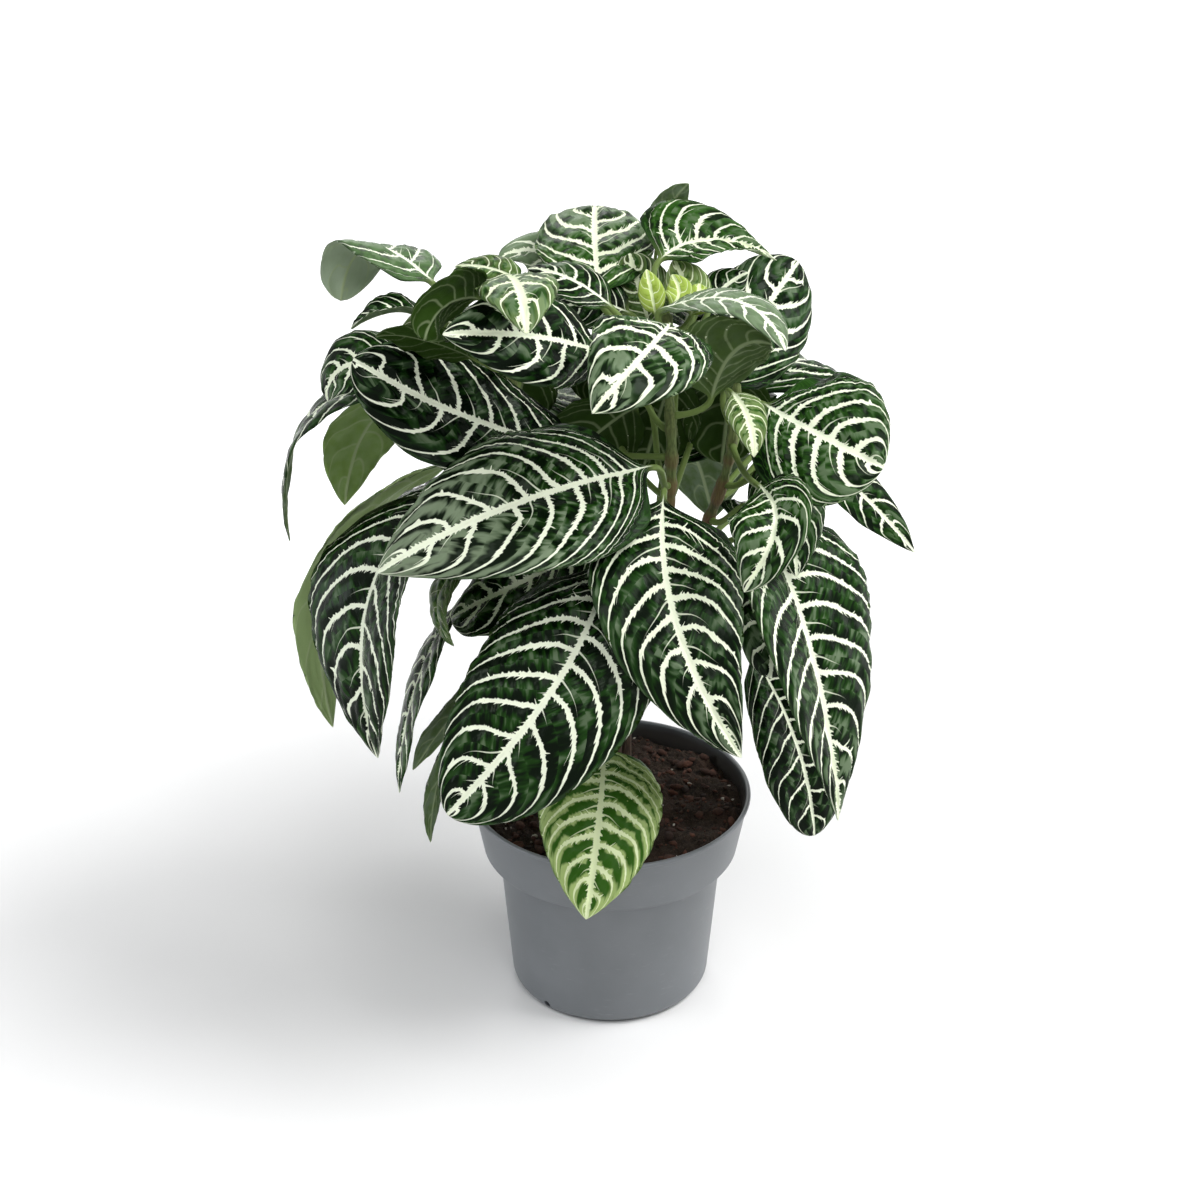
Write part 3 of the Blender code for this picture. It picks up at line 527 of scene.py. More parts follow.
def stalk_frame(leaf):
    """The stalk's axis from inside the stem to the blade, a cubic Bezier curve that leaves the stem
    square and runs into the blade in line with it, with the across and up directions carried back
    from the blade, and the length left to the blade, below zero."""
    axis, radii = stem_axis(leaf.stem, STALK_AXIS_STEPS)
    centre, above = (np.array([np.interp(height, axis[:, 2], axis[:, i]) for i in range(3)])
                     for height in (leaf.node, leaf.node + 1))
    rise = unit(above - centre)
    start = np.array(leaf.start, float)
    out = start - centre
    out = unit(out - (out @ rise) * rise)
    root = centre + out * (np.interp(leaf.node, axis[:, 2], radii) - STALK_SUNK)
    into_blade = bent_line(leaf, [0])[1][0]
    reach = STALK_REACH * np.linalg.norm(start - root)
    near, far = root + out * reach, start - into_blade * reach
    t = np.linspace(0, 1, STALK_ROWS)[:, None]
    place = (1 - t) ** 3 * root + 3 * t * (1 - t) ** 2 * near + 3 * t**2 * (1 - t) * far + t**3 * start
    along = unit((1 - t) ** 2 * (near - root) + 2 * t * (1 - t) * (far - near) + t**2 * (start - far))
    up = np.empty_like(along)
    carried = unit(np.array(leaf.base_face, float))
    for row in reversed(range(STALK_ROWS)):
        carried = unit(carried - (carried @ along[row]) * along[row])
        up[row] = carried
    steps = np.linalg.norm(np.diff(place, axis=0), axis=1)
    left = np.append(0, np.cumsum(steps)) - steps.sum()
    return place, np.cross(along, up), up, left


def waves(rng, u, s, count, low, high):
    """A sum of sine waves over the blade, each in a random direction with between low and high turns."""
    total = np.zeros(np.broadcast(u, s).shape)
    for _ in range(count):
        heading, turns, start = rng.uniform(0, math.tau), rng.uniform(low, high), rng.uniform(0, math.tau)
        total += np.sin(math.tau * turns * (u * math.cos(heading) + 0.5 * s * math.sin(heading)) + start)
    return total / math.sqrt(count)


def vein_phase(u, x, sweep, looks, pairs):
    """How many side veins lie between the base and a point: a vein is where the phase is whole. The
    veins leave the midrib nearly square to it, sweep forward and end along the margin, so the phase
    follows q, which is u less sweep (0.2 x + 0.65 x^2.6 + 0.15 x^9) with x the share across. It is the
    pairs of veins times a power of q below one, so that they stand wider apart towards the tip."""
    q = u - sweep * (0.2 * x + 0.65 * x**2.6 + 0.15 * x**9)
    return pairs * (np.maximum(q, 0) ** looks.crowding), q


def slope(values, along_step, across_step):
    """The length of the gradient of values over a surface, from its steps along and across the grid."""
    by_row, by_column = np.gradient(values)
    e = (along_step**2).sum(axis=-1)
    f = (along_step * across_step).sum(axis=-1)
    g = (across_step**2).sum(axis=-1)
    square = (g * by_row**2 - 2 * f * by_row * by_column + e * by_column**2) / np.maximum(e * g - f * f, 1e-9)
    return np.sqrt(np.maximum(square, 1e-6))


def blade_grid(leaf, length):
    """The shares along the blade, closer at both ends, and across it, closer at the midrib: a column
    at v from -1 to 1 has the share sign(v) |v|^1.15 of the half width."""
    rows = int(np.clip(length / ROW_STEP, *ROW_LIMITS))
    columns = 2 * int(np.clip(leaf.width / COLUMN_STEP / 2, *HALF_COLUMN_LIMITS))
    x = np.linspace(0, 1, rows + 1)[:-1]
    u = (EVEN_ROWS * x + (1 - EVEN_ROWS) * (1 - np.cos(math.pi * x)) / 2)[:, None]
    v = np.linspace(-1, 1, columns)[None]
    return u, v, np.sign(v) * np.abs(v) ** MIDRIB_CROWDING


def relief(rng, u, s, half, pillow, shifted):
    """How far the blade is raised along its normal: a pillow between each two side veins, a row of
    lumps on each pillow, ridges that run along the veins, a slow crumple and a fine pucker."""
    side = np.abs(s)
    clear = smooth_step(side * 4)
    raised = PILLOW * pillow * np.clip(1.25 - side, 0, 1) ** 0.5 * smooth_step(side * 5)
    along_vein = half * side / QUILT_STEP
    lumps = np.sin(math.tau * along_vein + 2.4 * np.floor(shifted) + 1.5 * waves(rng, u, s, 3, 1, 4))
    raised = raised + QUILT * lumps * pillow * clear
    ridges = np.sin(math.tau * (2 * shifted + 0.5 * waves(rng, u, s, 4, 2, 6))) * waves(rng, u, s, 3, 1, 3)
    raised = raised + RIDGE * ridges * clear
    raised = raised + CRUMPLE * waves(rng, u, s, 7, 2, 7) * (0.4 + 0.6 * side)
    return raised + PUCKER * waves(rng, u, s, 12, 7, 16)


def grown_leaf(leaf, top, underside):
    """A closed leaf: a round stalk that flattens into a thin blade. A row across the blade is the share s
    from -1 to 1 of its half width; the skin lies at s cos(fold) across and |s| sin(fold) - DROOP s^2
    up. Then the blade is raised by its relief, and each face lies half the thickness off that middle."""
    rng = np.random.default_rng(leaf.number)
    looks = LOOKS.get(leaf.number, PLAIN)
    length = bent_line(leaf, [0])[2]
    u, v, s = blade_grid(leaf, length)
    side = np.abs(s)
    place, along, _ = bent_line(leaf, u[:, 0])
    base_face, tip_face = unit(np.array(leaf.base_face, float)), unit(np.array(leaf.tip_face, float))
    face = base_face + (tip_face - base_face) * u
    up = unit(face - (face * along).sum(axis=1, keepdims=True) * along)
    across = np.cross(along, up)
    radius = YOUNG_STALK_RADIUS if leaf.width < YOUNG_WIDTH else STALK_RADIUS
    shape = outline(u, *leaf.edge)
    half = np.hypot(leaf.width / 2 * shape, radius * (1 - u) ** 6)

    # where the side veins lie
    pairs = looks.pairs or LEAST_PAIRS + length / PAIR_LENGTH
    phase, q = vein_phase(u, side, looks.sweep * leaf.width / 2 / length, looks, pairs)
    phase = phase + VEIN_WANDER * waves(rng, u, s, 5, 1, 4) * smooth_step(side * 4)
    shifted = phase + SIDE_SHIFT * np.sign(s)
    between = np.abs(shifted - np.round(shifted))  # 0 on a vein, 0.5 halfway to the next
    pillow = 4 * between * (1 - between) * smooth_step(q / 0.05)

    # the middle of the thickness
    small = np.minimum(1, leaf.width / FULL_RELIEF_WIDTH)
    half_here = half * (1 + SCALLOP * (pillow - 0.6) * side**4)
    fold = np.radians(np.where(s < 0, *leaf.folds))
    soft = np.sqrt(s * s + FOLD_SOFTNESS**2) - FOLD_SOFTNESS
    lifted = soft * np.sin(fold) - DROOP * s * s
    edge_waves = np.where(s < 0, waves(rng, u, 0 * s, 3, 2, 4.5), waves(rng, u, 0 * s, 3, 2, 4.5))
    waved = WAVE_SHARE * leaf.width * edge_waves * side**3 * shape
    middle = raised_by(place[:, None], across[:, None], half_here * s * np.cos(fold))
    middle = raised_by(middle, up[:, None], half_here * lifted + waved)
    along_step, across_step = np.gradient(middle, axis=0), np.gradient(middle, axis=1)
    normal = unit(np.cross(across_step, along_step))
    pitch = 1 / slope(phase, along_step, across_step)
    calm = smooth_step(u / CALM_BASE) * (1 - smooth_step((u - CALM_TIP) / (1 - CALM_TIP)))
    middle = raised_by(middle, normal, small * relief(rng, u, s, half, pillow, shifted) * calm)

    # the two faces, blended from the round stalk
    flat = smooth_step(u / FUSED)[..., None]
    skin = SKIN * np.sqrt(1 - side**8) + 0 * u
    rib = LOWER_MIDRIB * small * np.exp(-((half * s / LOWER_MIDRIB_REACH) ** 2)) * (1 - 0.7 * u)
    quarter = math.pi / 2 * v
    ring_across, ring_up = radius * np.sin(quarter), radius * np.cos(quarter)
    ring_middle = raised_by(place[:, None], across[:, None], ring_across)
    upper = (1 - flat) * raised_by(ring_middle, up[:, None], ring_up) + flat * raised_by(middle, normal, skin)
    lower = (1 - flat) * raised_by(ring_middle, up[:, None], -ring_up)
    lower = lower + flat * raised_by(middle, normal, -(skin + rib))

    # the stalk's rows come first
    centre, stalk_across, stalk_up, left = stalk_frame(leaf)
    flare = (1 + STALK_FLARE * np.exp(-(((left - left[0]) / FLARE_REACH) ** 2)))[:, None]
    ring_middle = raised_by(centre[:, None], stalk_across[:, None], flare * ring_across)
    stalk_top = raised_by(ring_middle, stalk_up[:, None], flare * ring_up)
    stalk_low = raised_by(ring_middle, stalk_up[:, None], -flare * ring_up)
    upper, lower = np.vstack([stalk_top[:-1], upper]), np.vstack([stalk_low[:-1], lower])

    def whole(values, on_stalk=0):
        """An attribute over the stalk's rows and the blade's."""
        return np.vstack([np.broadcast_to(on_stalk, (STALK_ROWS - 1, v.size)),
                          np.broadcast_to(values, (u.size, v.size))])

    vein_scale = looks.vein * (0.55 + 0.45 * small)
    side_vein = vein_scale * (1 - 0.25 * side - 0.3 * side**3) * (0.55 + 0.45 * shape)
    side_vein = side_vein * smooth_step((q + 0.01) / 0.06) * np.clip(pitch / FULL_PITCH, 0.3, 1)
    midrib = np.interp(u, MIDRIB_PLACES, MIDRIB_WIDTHS) * looks.midrib * (0.4 + 0.6 * small)
    midrib = np.minimum(midrib, 0.45 * leaf.width / 2 * shape + 0.25)
    attributes = {
        "place": (whole(length * u, left[:-1, None]), whole(half * s, radius * v),
                  whole(leaf.number, leaf.number)),
        "veins": (whole(shifted), whole(np.minimum(pitch, WIDEST_PITCH), FULL_PITCH), whole(side_vein)),
        "form": (whole(midrib), whole(side), whole(looks.youth, looks.youth)),
        "tone": (whole(looks.depth, looks.depth), whole(u), whole(looks.sheen)),
    }
    closed_leaf(leaf, upper, lower, attributes, (top, underside), centre[0])


def closed_leaf(leaf, upper, lower, attributes, surfaces, root):
    """Joins the two faces at their margins, a fan at the root and another at the tip, and lays the
    upper face out in one half of the leaf's map and the underside in the other."""
    rows, columns = upper.shape[:2]
    ring = np.concatenate([upper, lower[:, -2:0:-1]], axis=1)
    size = ring.shape[1]
    points = np.vstack([ring.reshape(-1, 3), root[None], np.array(leaf.tip, float)[None]])
    name = f"leaf_{leaf.number:02d}"
    slot = "young_leaf" if leaf.number in YOUNG_LEAVES else "leaf"
    stands_for = name if leaf.number <= len(LEAF_ROWS) else None
    mesh = new_piece("grown_" + name, points, tube_faces(rows, size), surfaces, stands_for).data
    for attribute, parts in attributes.items():
        spread = []
        for values in parts:
            round_values = np.concatenate([values, values[:, -2:0:-1]], axis=1)
            spread.append(np.append(round_values, (values[0, columns // 2], values[-1, columns // 2])))
        add_attribute(mesh, attribute, spread)
    below = np.arange(size) >= columns - 1
    mesh.polygons.foreach_set("material_index", np.tile(below, rows + 1).astype(np.int32))
    lay_out(mesh, rows, columns, size)


def lay_out(mesh, rows, columns, size):
    """The leaf's map: the way along it runs across the map, and the way round it runs up the map."""
    step = np.linspace(0, 1, rows + 2)
    left_side = np.arange(size)
    above = left_side < columns - 1

    def up_map(index):
        share = np.where(above, index, index - (columns - 1)) / (columns - 1)
        return np.where(above, MAP_EDGE, 0.5 + MAP_EDGE) + share * (0.5 - 2 * MAP_EDGE)

    def corners(*values):
        return np.stack(np.broadcast_arrays(*values), axis=-1).reshape(-1, 2)

    low, high, middle = up_map(left_side), up_map(left_side + 1), up_map(left_side + 0.5)
    along = MAP_EDGE + step * (1 - 2 * MAP_EDGE)
    near, far = along[1:-2, None], along[2:-1, None]
    quads = corners(near, low, near, high, far, high, far, low)
    start = corners(along[1], high, along[1], low, along[0], middle)
    end = corners(along[-2], low, along[-2], high, along[-1], middle)
    layer = mesh.uv_layers.new(name="OFBake")
    layer.data.foreach_set("uv", np.vstack([quads, start, end]).astype(np.float32).ravel())


# ---------------------------------------------------------------- pot and soil


def pot_profile():
    """The pot's section as (radius, height) points, from the middle of its floor up the inside, over a
    rolled lip, and down the outside to a quarter round foot and the middle of its base."""
    ledge = POT_HEIGHT - BAND_HEIGHT
    corner = FOOT_ROUNDING - WALL
    turns = np.radians(np.linspace(0, 90, FOOT_STEPS))
    inside = [(0, FLOOR)]
    inside += [(BODY_FOOT_RADIUS - WALL - corner + corner * math.sin(turn),
                FLOOR + corner - corner * math.cos(turn)) for turn in turns]
    inside += [(NECK_RADIUS - WALL, ledge + WALL - STEP_DROP), (BAND_FOOT_RADIUS - WALL, ledge + WALL)]
    radius = LIP / 2
    lip = [(RIM_RADIUS - radius - radius * math.cos(turn), POT_HEIGHT - radius + radius * math.sin(turn))
           for turn in np.radians(np.linspace(*LIP_TURN, LIP_STEPS))]
    inset, drop = UNDER_LIP
    height = lip[-1][1] - drop
    share = (height - ledge) / (POT_HEIGHT - ledge)
    band = [(BAND_FOOT_RADIUS + (RIM_RADIUS - inset - BAND_FOOT_RADIUS) * share, height)]
    band += [(BAND_FOOT_RADIUS + out, ledge + up) for out, up in BAND_ROUNDING]
    band += [(NECK_RADIUS + out, ledge - STEP_DROP + up) for out, up in NECK_ROUNDING]
    foot = [(BODY_FOOT_RADIUS - FOOT_ROUNDING * (1 - math.cos(turn)), FOOT_ROUNDING * (1 - math.sin(turn)))
            for turn in turns]
    return inside + lip + band + foot + [(0, 0)]


def turned(profile, segments):
    """The points and faces of a profile turned round +Z, whose first and last points are on the axis."""
    profile = np.array(profile, float)
    turn = np.linspace(0, math.tau, segments, endpoint=False)
    radius, height = profile[1:-1, 0][:, None], profile[1:-1, 1][:, None]
    rings = np.stack([radius * np.cos(turn), radius * np.sin(turn), height + 0 * turn], axis=-1)
    ends = np.array([(0, 0, profile[0, 1]), (0, 0, profile[-1, 1])])
    return np.vstack([rings.reshape(-1, 3), ends]), tube_faces(len(rings), segments)


def bores():
    """The cutters of the pot's drain holes and of the slots round its foot."""
    bm = bmesh.new()

    def bore(radius, length, place):
        bmesh.ops.create_cone(bm, cap_ends=True, segments=BORE_SEGMENTS, radius1=radius * MM,
                              radius2=radius * MM, depth=length * MM, matrix=place)

    for hole in range(DRAIN_HOLES):
        turn = Matrix.Rotation(math.tau * hole / DRAIN_HOLES, 4, "Z")
        bore(DRAIN_HOLE_RADIUS, 4 * FLOOR, turn @ Matrix.Translation((DRAIN_RING_RADIUS * MM, 0, 0)))
    for angle in SLOT_ANGLES:
        turn = Matrix.Rotation(math.radians(angle), 4, "Z")
        centre = Matrix.Translation(((BODY_FOOT_RADIUS - WALL) * MM, 0, SLOT_HEIGHT * MM))
        bore(SLOT_RADIUS, 2 * FOOT_ROUNDING, turn @ centre @ Matrix.Rotation(math.radians(90), 4, "Y"))
    mesh = bpy.data.meshes.new("bores")
    bm.to_mesh(mesh)
    bm.free()
    cutter = bpy.data.objects.new("bores", mesh)
    bpy.context.scene.collection.objects.link(cutter)
    return cutter


def moulded_pot(plastic):
    """The turned pot with its drain holes cut through, as one finished mesh."""
    points, faces = turned(pot_profile(), POT_SEGMENTS)
    pot = new_piece("moulded_pot", points, faces, [plastic], "pot")
    cutter = bores()
    cut = pot.modifiers.new("drain", "BOOLEAN")
    cut.operation = "DIFFERENCE"
    cut.object = cutter
    bpy.context.view_layer.update()
    graph = bpy.context.evaluated_depsgraph_get()
    finished = bpy.data.meshes.new_from_object(pot.evaluated_get(graph))
    pot.modifiers.clear()
    pot.data = finished
    bpy.data.objects.remove(cutter, do_unlink=True)
    finished.set_sharp_from_angle(angle=math.radians(SHARP_FROM))


def soil_edge():
    """The radius at which the soil's top meets the pot's wall."""
    low, high = BAND_FOOT_RADIUS - WALL, RIM_RADIUS - WALL
    share = (SOIL_LEVEL - (POT_HEIGHT - BAND_HEIGHT + WALL)) / (BAND_HEIGHT - WALL)
    return low + (high - low) * share


def soil_height(x, y):
    """The crumbly top: a low dome with lumps of a few sizes, as sums of sine waves in random directions,
    which sinks a little against the wall and rises round each stem."""
    rng = np.random.default_rng(SOIL_SEED)
    share = np.hypot(x, y) / soil_edge()
    height = SOIL_LEVEL + SOIL_RISE * (1 - share**2)
    for size, rise, count in SOIL_LUMPS:
        for _ in range(count):
            heading, start = rng.uniform(0, math.tau, 2)
            wave = np.sin(math.tau / size * (x * math.cos(heading) + y * math.sin(heading)) + start)
            height = height + rise * wave / math.sqrt(count)
    for points, low_radius, _ in STEMS.values():
        away = np.hypot(x - points[1][0], y - points[1][1])
        height = height + HEAP * np.exp(-((away / (HEAP_REACH * low_radius)) ** 2))
    return height - SOIL_SINK * smooth_step((share - SINK_FROM) / (1 - SINK_FROM))


def soil_surface(crumbs):
    """The soil as one closed piece: a polar height field on top, and a plain underside within the pot."""
    share = np.linspace(0, 1, SOIL_RINGS + 1)[1:, None]
    turn = np.linspace(0, math.tau, SOIL_SIDES, endpoint=False)
    radius = (soil_edge() - SOIL_GAP) * share
    x, y = radius * np.cos(turn), radius * np.sin(turn)
    top = np.stack([x, y, soil_height(x, y)], axis=-1)
    below = top[-1:] * SOIL_TAPER
    below[..., 2] = SOIL_LEVEL - SOIL_DEPTH
    rings = np.concatenate([top, below])
    middle = np.zeros((2, 3))
    middle[:, 2] = soil_height(0.0, 0.0), SOIL_LEVEL - SOIL_DEPTH
    points = np.vstack([rings.reshape(-1, 3), middle])
    new_piece("potting_soil", points, tube_faces(len(rings), SOIL_SIDES), [crumbs], "soil")


def turns_of(spin, tilt):
    """Rotations, one for each pair of angles: a tilt about X, then a spin about Z."""
    c, s, k, t = np.cos(spin), np.sin(spin), np.cos(tilt), np.sin(tilt)
    rows = (c, -s * k, s * t), (s, c * k, -c * t), (0 * c, t, k)
    return np.stack([np.stack(row, axis=-1) for row in rows], axis=1)


def strewn(name, finish, seed, count, sizes, flatness, above):
    """Rough lumps strewn on the soil: each is an icosahedron with its corners moved in and out, stretched
    by random amounts along its three axes, tilted a little and spun to a random heading."""
    surface = lump_finish(*finish)
    rng = np.random.default_rng(seed)
    bm = bmesh.new()
    bmesh.ops.create_icosphere(bm, subdivisions=1, radius=1)
    ball = np.array([vert.co for vert in bm.verts])
    triangles = np.array([[vert.index for vert in face.verts] for face in bm.faces])
    bm.free()
    radius = STREWN_REACH * soil_edge() * np.sqrt(rng.uniform(0, 1, count))
    turn = rng.uniform(0, math.tau, count)
    x, y = radius * np.cos(turn), radius * np.sin(turn)
    size = sizes[0] * (sizes[1] / sizes[0]) ** (rng.uniform(0, 1, count) ** 2)
    spans = LUMP_LENGTH, LUMP_BREADTH, flatness
    stretch = size[:, None] * np.stack([rng.uniform(*span, count) for span in spans], axis=-1)
    rough = 1 + rng.uniform(-LUMP_ROUGHNESS, LUMP_ROUGHNESS, (count, len(ball), 1))
    lumps = ball * rough * stretch[:, None]
    rotations = turns_of(rng.uniform(0, math.tau, count), rng.normal(0, LUMP_TILT, count))
    centre = np.stack([x, y, soil_height(x, y) + stretch[:, 2] * above], axis=-1)
    points = (np.einsum("nij,nkj->nki", rotations, lumps) + centre[:, None]).reshape(-1, 3)
    faces = (triangles + len(ball) * np.arange(count)[:, None, None]).reshape(-1, 3)
    piece = new_piece(name, points, [faces], [surface])
    tint = np.repeat(rng.uniform(0, 1, count), len(ball))
    add_attribute(piece.data, "tint", (tint, 0 * tint, 0 * tint))


# ---------------------------------------------------------------- materials


def node_sum(operation):
    return lambda value, *others: value.owner.maths(operation, value, *others)


class Value:
    """A node's output. Each sum with it adds a Math node and gives back that node's output, and
    scaled(factor, rest) is the value times the factor, plus the rest."""

    def __init__(self, owner, socket):
        self.owner, self.socket = owner, socket

    __add__, __sub__ = node_sum("ADD"), node_sum("SUBTRACT")
    __mul__, __truediv__ = node_sum("MULTIPLY"), node_sum("DIVIDE")
    __abs__, sign, rounded, root = (node_sum(name) for name in ("ABSOLUTE", "SIGN", "ROUND", "SQRT"))
    at_least, scaled = node_sum("MAXIMUM"), node_sum("MULTIPLY_ADD")

    def __rsub__(self, other):
        return self.owner.maths("SUBTRACT", other, self)

    def step(self, low, high, start=0.0, end=1.0):
        """A smooth step from start to end, as the value goes from low to high."""
        node = self.owner.new("MapRange")
        node.interpolation_type = "SMOOTHSTEP"
        return self.owner.fed(node, (self, low, high, start, end))


class Tree:
    """A node tree that is written as sums of values."""

    def __init__(self, tree):
        self.tree = tree

    def new(self, kind):
        return self.tree.nodes.new("ShaderNode" + kind)

    def put(self, socket, value):
        """A constant is set on the socket itself, a colour with its alpha, and a value is linked to it."""
        if isinstance(value, Value):
            self.tree.links.new(value.socket, socket)
        elif isinstance(value, tuple) and len(value) < len(socket.default_value):
            socket.default_value = (*value, 1)
        else:
            socket.default_value = value

    def fed(self, node, values, output=0):
        """Puts the values into the node's first sockets, and gives back its output."""
        for socket, value in zip(node.inputs, values):
            self.put(socket, value)
        return Value(self, node.outputs[output])

    def add(self, kind, output, **inputs):
        node = self.new(kind)
        for socket, value in inputs.items():
            self.put(node.inputs[socket], value)
        return Value(self, node.outputs[output])

    def maths(self, operation, *values):
        node = self.new("Math")
        node.operation = operation
        return self.fed(node, values)

    def parts(self, vector):
        node = self.new("SeparateXYZ")
        self.put(node.inputs[0], vector)
        return [Value(self, socket) for socket in node.outputs]

    def mix(self, share, first, second):
        node = self.new("Mix")
        node.data_type = "RGBA"
        for socket, value in zip((node.inputs[0], node.inputs[6], node.inputs[7]), (share, first, second)):
            self.put(socket, value)
        return Value(self, node.outputs[2])

    def background_rays(self):
        """1 for a camera, glossy or transmission ray, which are the rays that show the white background."""
        path = self.new("LightPath")
        camera, glossy, transmission = (Value(self, path.outputs[name]) for name in
                                        ("Is Camera Ray", "Is Glossy Ray", "Is Transmission Ray"))
        return camera.at_least(glossy).at_least(transmission)


class Finish(Tree):
    """A material."""

    def __init__(self, name, **settings):
        self.material = bpy.data.materials.new(name)
        self.material.use_nodes = True
        super().__init__(self.material.node_tree)
        self.shader = self.tree.nodes["Principled BSDF"]
        for socket, value in settings.items():
            self.set(socket.replace("_", " "), value)

    def set(self, socket, value):
        self.put(self.shader.inputs[socket], value)

    def stored(self, name):
        """The three parts of what is stored at each point under this name."""
        node = self.new("Attribute")
        node.attribute_name = name
        return self.parts(Value(self, node.outputs["Vector"]))

    def point(self):
        return self.add("TexCoord", "Object")

    def place(self):
        """The point on the piece, in millimetres."""
        node = self.new("VectorMath")
        node.operation = "SCALE"
        node.inputs["Scale"].default_value = 1 / MM
        return self.fed(node, [self.point()])

    def noise(self, place, scale=1.0, detail=2.0, roughness=0.5):
        """Noise at a place, which is a vector or its three parts."""
        if isinstance(place, tuple):
            place = self.add("CombineXYZ", 0, **dict(zip("XYZ", place)))
        return self.add("TexNoise", 0, Vector=place, Scale=scale, Detail=detail, Roughness=roughness)

    def bump(self, height, distance, strength=1.0):
        self.set("Normal", self.add("Bump", 0, Height=height, Strength=strength, Distance=distance * MM))


Blade = namedtuple("Blade", "along across seed phase pitch side_vein midrib side youth depth share sheen")


def blade_values(made):
    """What grown_leaf stores at each point of a blade."""
    return Blade(*(value for name in ("place", "veins", "form", "tone") for value in made.stored(name)))


def white_veins(made, blade, row, off):
    """How white the upper skin is: 1 on the side veins and the midrib, less on the short veins that end
    between them, and 0 elsewhere. Noise that runs along a vein makes it wider by its teeth."""
    away, ahead, across, hand = abs(off), off.sign(), abs(blade.across), blade.across.sign()
    line = blade.phase.rounded() * 3.1 + ahead * 0.8
    ragged = made.noise((away.scaled(-0.5, across) * 0.95, line, row), detail=1)
    tooth = (ragged - TOOTH_FROM).at_least(0) * ahead.scaled(0.7, TOOTH_RISE) * blade.side_vein.step(0.1, 0.9)
    thick = blade.side_vein * ragged.scaled(0.5, 0.75) + tooth
    spike = made.noise((away.scaled(-0.9, across) * 1.1, line * 1.9, row), detail=0)
    spike = (spike - SPIKE_FROM).at_least(0) * SPIKE_RISE
    thick = thick.at_least(spike * blade.side_vein.step(0.1, 0.7))
    side_veins = (thick - away).step(-VEIN_BLUR, VEIN_BLUR)

    jag = made.noise((across.scaled(-0.6, blade.along) * 0.7, hand * 4.0, blade.seed), detail=1)
    jag = (jag - JAG_FROM).at_least(0) * JAG_RISE
    wide = jag.scaled(blade.midrib.step(0.5, 1.5), blade.midrib)
    midrib = (wide - across).step(-VEIN_BLUR, VEIN_BLUR)

    between = blade.side.scaled(-0.7, blade.phase) + 0.5
    short = between.rounded()
    present = made.noise((short * 7.7, hand * 3.3, blade.seed), detail=0)
    reach = present.scaled(1.3, -0.32).at_least(0.01)
    thin = SHORT_VEIN - blade.side * SHORT_VEIN / reach
    short_veins = (thin - abs((between - short) * blade.pitch)).step(-0.12, 0.2)
    short_veins = short_veins * blade.side_vein.step(0.2, 0.8) * SHORT_VEIN_WHITE
    return side_veins.at_least(midrib).at_least(short_veins)


def blade_green(made, blade, rungs, off):
    """The upper skin between its veins, with light and shade painted in: deep green next to the veins,
    partly its own dark green and partly a painted shade in the creases, painted lit panels that cross
    from vein to vein, a painted sheen that greys it towards the tip, painted pale with sheen where its
    depth is below 0, light green where it is young, and a little paler at its margin."""
    away = abs(off)
    mottle = made.noise((blade.along * 0.09, blade.across * 0.09, blade.seed))
    panel = rungs.scaled(2.6, away / blade.pitch + mottle * 0.9)
    panel = blade.depth.at_least(0).scaled(-0.36, panel)
    deep = made.mix(blade.depth, FRESH_GREEN, DEEP_GREEN)
    green = made.mix(panel.step(1.55, 2.1), deep, made.mix(blade.depth, PAINTED_LIT_GREEN, PAINTED_LIT_DARK_GREEN))
    # painted sheen: the panels turn grey, more towards the tip, by the leaf's sheen
    greyed = blade.share.scaled(1.1, -0.3).scaled(blade.sheen, panel).step(2.0, 2.45)
    green = made.mix(greyed * blade.sheen.scaled(0.42, 0.26), green, PAINTED_SHEEN_GREY)
    # painted sheen: where the depth is below 0 the skin is painted pale
    green = made.mix(blade.depth.step(-0.1, -1.0, 0, 0.85), green, PAINTED_SHEEN_PALE)
    young = made.mix(rungs.scaled(-6.5, away + 1.5).step(-0.6, 0.9), YOUNG_LIGHT, YOUNG_GREEN)
    young = made.mix(blade.youth.step(0.9, 1.0, 0, 0.75), young, BUD_GREEN)
    green = made.mix(blade.youth.step(0.2, 1.0), green, young)
    return made.mix(blade.side.step(0.93, 1.0, 0, 0.45), green, MARGIN_GREEN)


def leaf_top():
    """The upper skin: green between white side veins with toothed edges, a wide jagged midrib, and
    short thin veins between them. The side veins lie where the stored phase is whole."""
    made = Finish("leaf_top", Specular_IOR_Level=0.08, Specular_Tint=LEAF_SHEEN)
    blade = blade_values(made)
    row = blade.across.sign().scaled(7.0, blade.seed)
    off = (blade.phase - blade.phase.rounded()) * blade.pitch
    # Noise across the panels: it paints highlight streaks into the green, a painted highlight, feathers the
    # young skin and raises the bump
    rungs = made.noise((off.scaled(0.6, abs(blade.across)) * 0.36, blade.phase * 0.8, row))
    white = white_veins(made, blade, row, off)
    cream = made.mix(blade.youth, VEIN_WHITE, VEIN_YOUNG)
    skin = made.mix(white, blade_green(made, blade, rungs, off), cream)
    made.set("Base Color", made.mix(blade.along.step(*STALK_FADE), STALK_GREEN, skin))

    grain = made.noise((blade.along, blade.across, blade.seed), scale=0.5)
    made.set("Roughness", white.scaled(0.2, blade.youth.scaled(0.22, grain.scaled(0.1, 0.16))))
    relief = white.scaled(-0.6, grain * 0.4)
    made.bump(rungs.scaled(blade.youth.scaled(-2.5, 4.0), relief), 0.12)
    return made.material


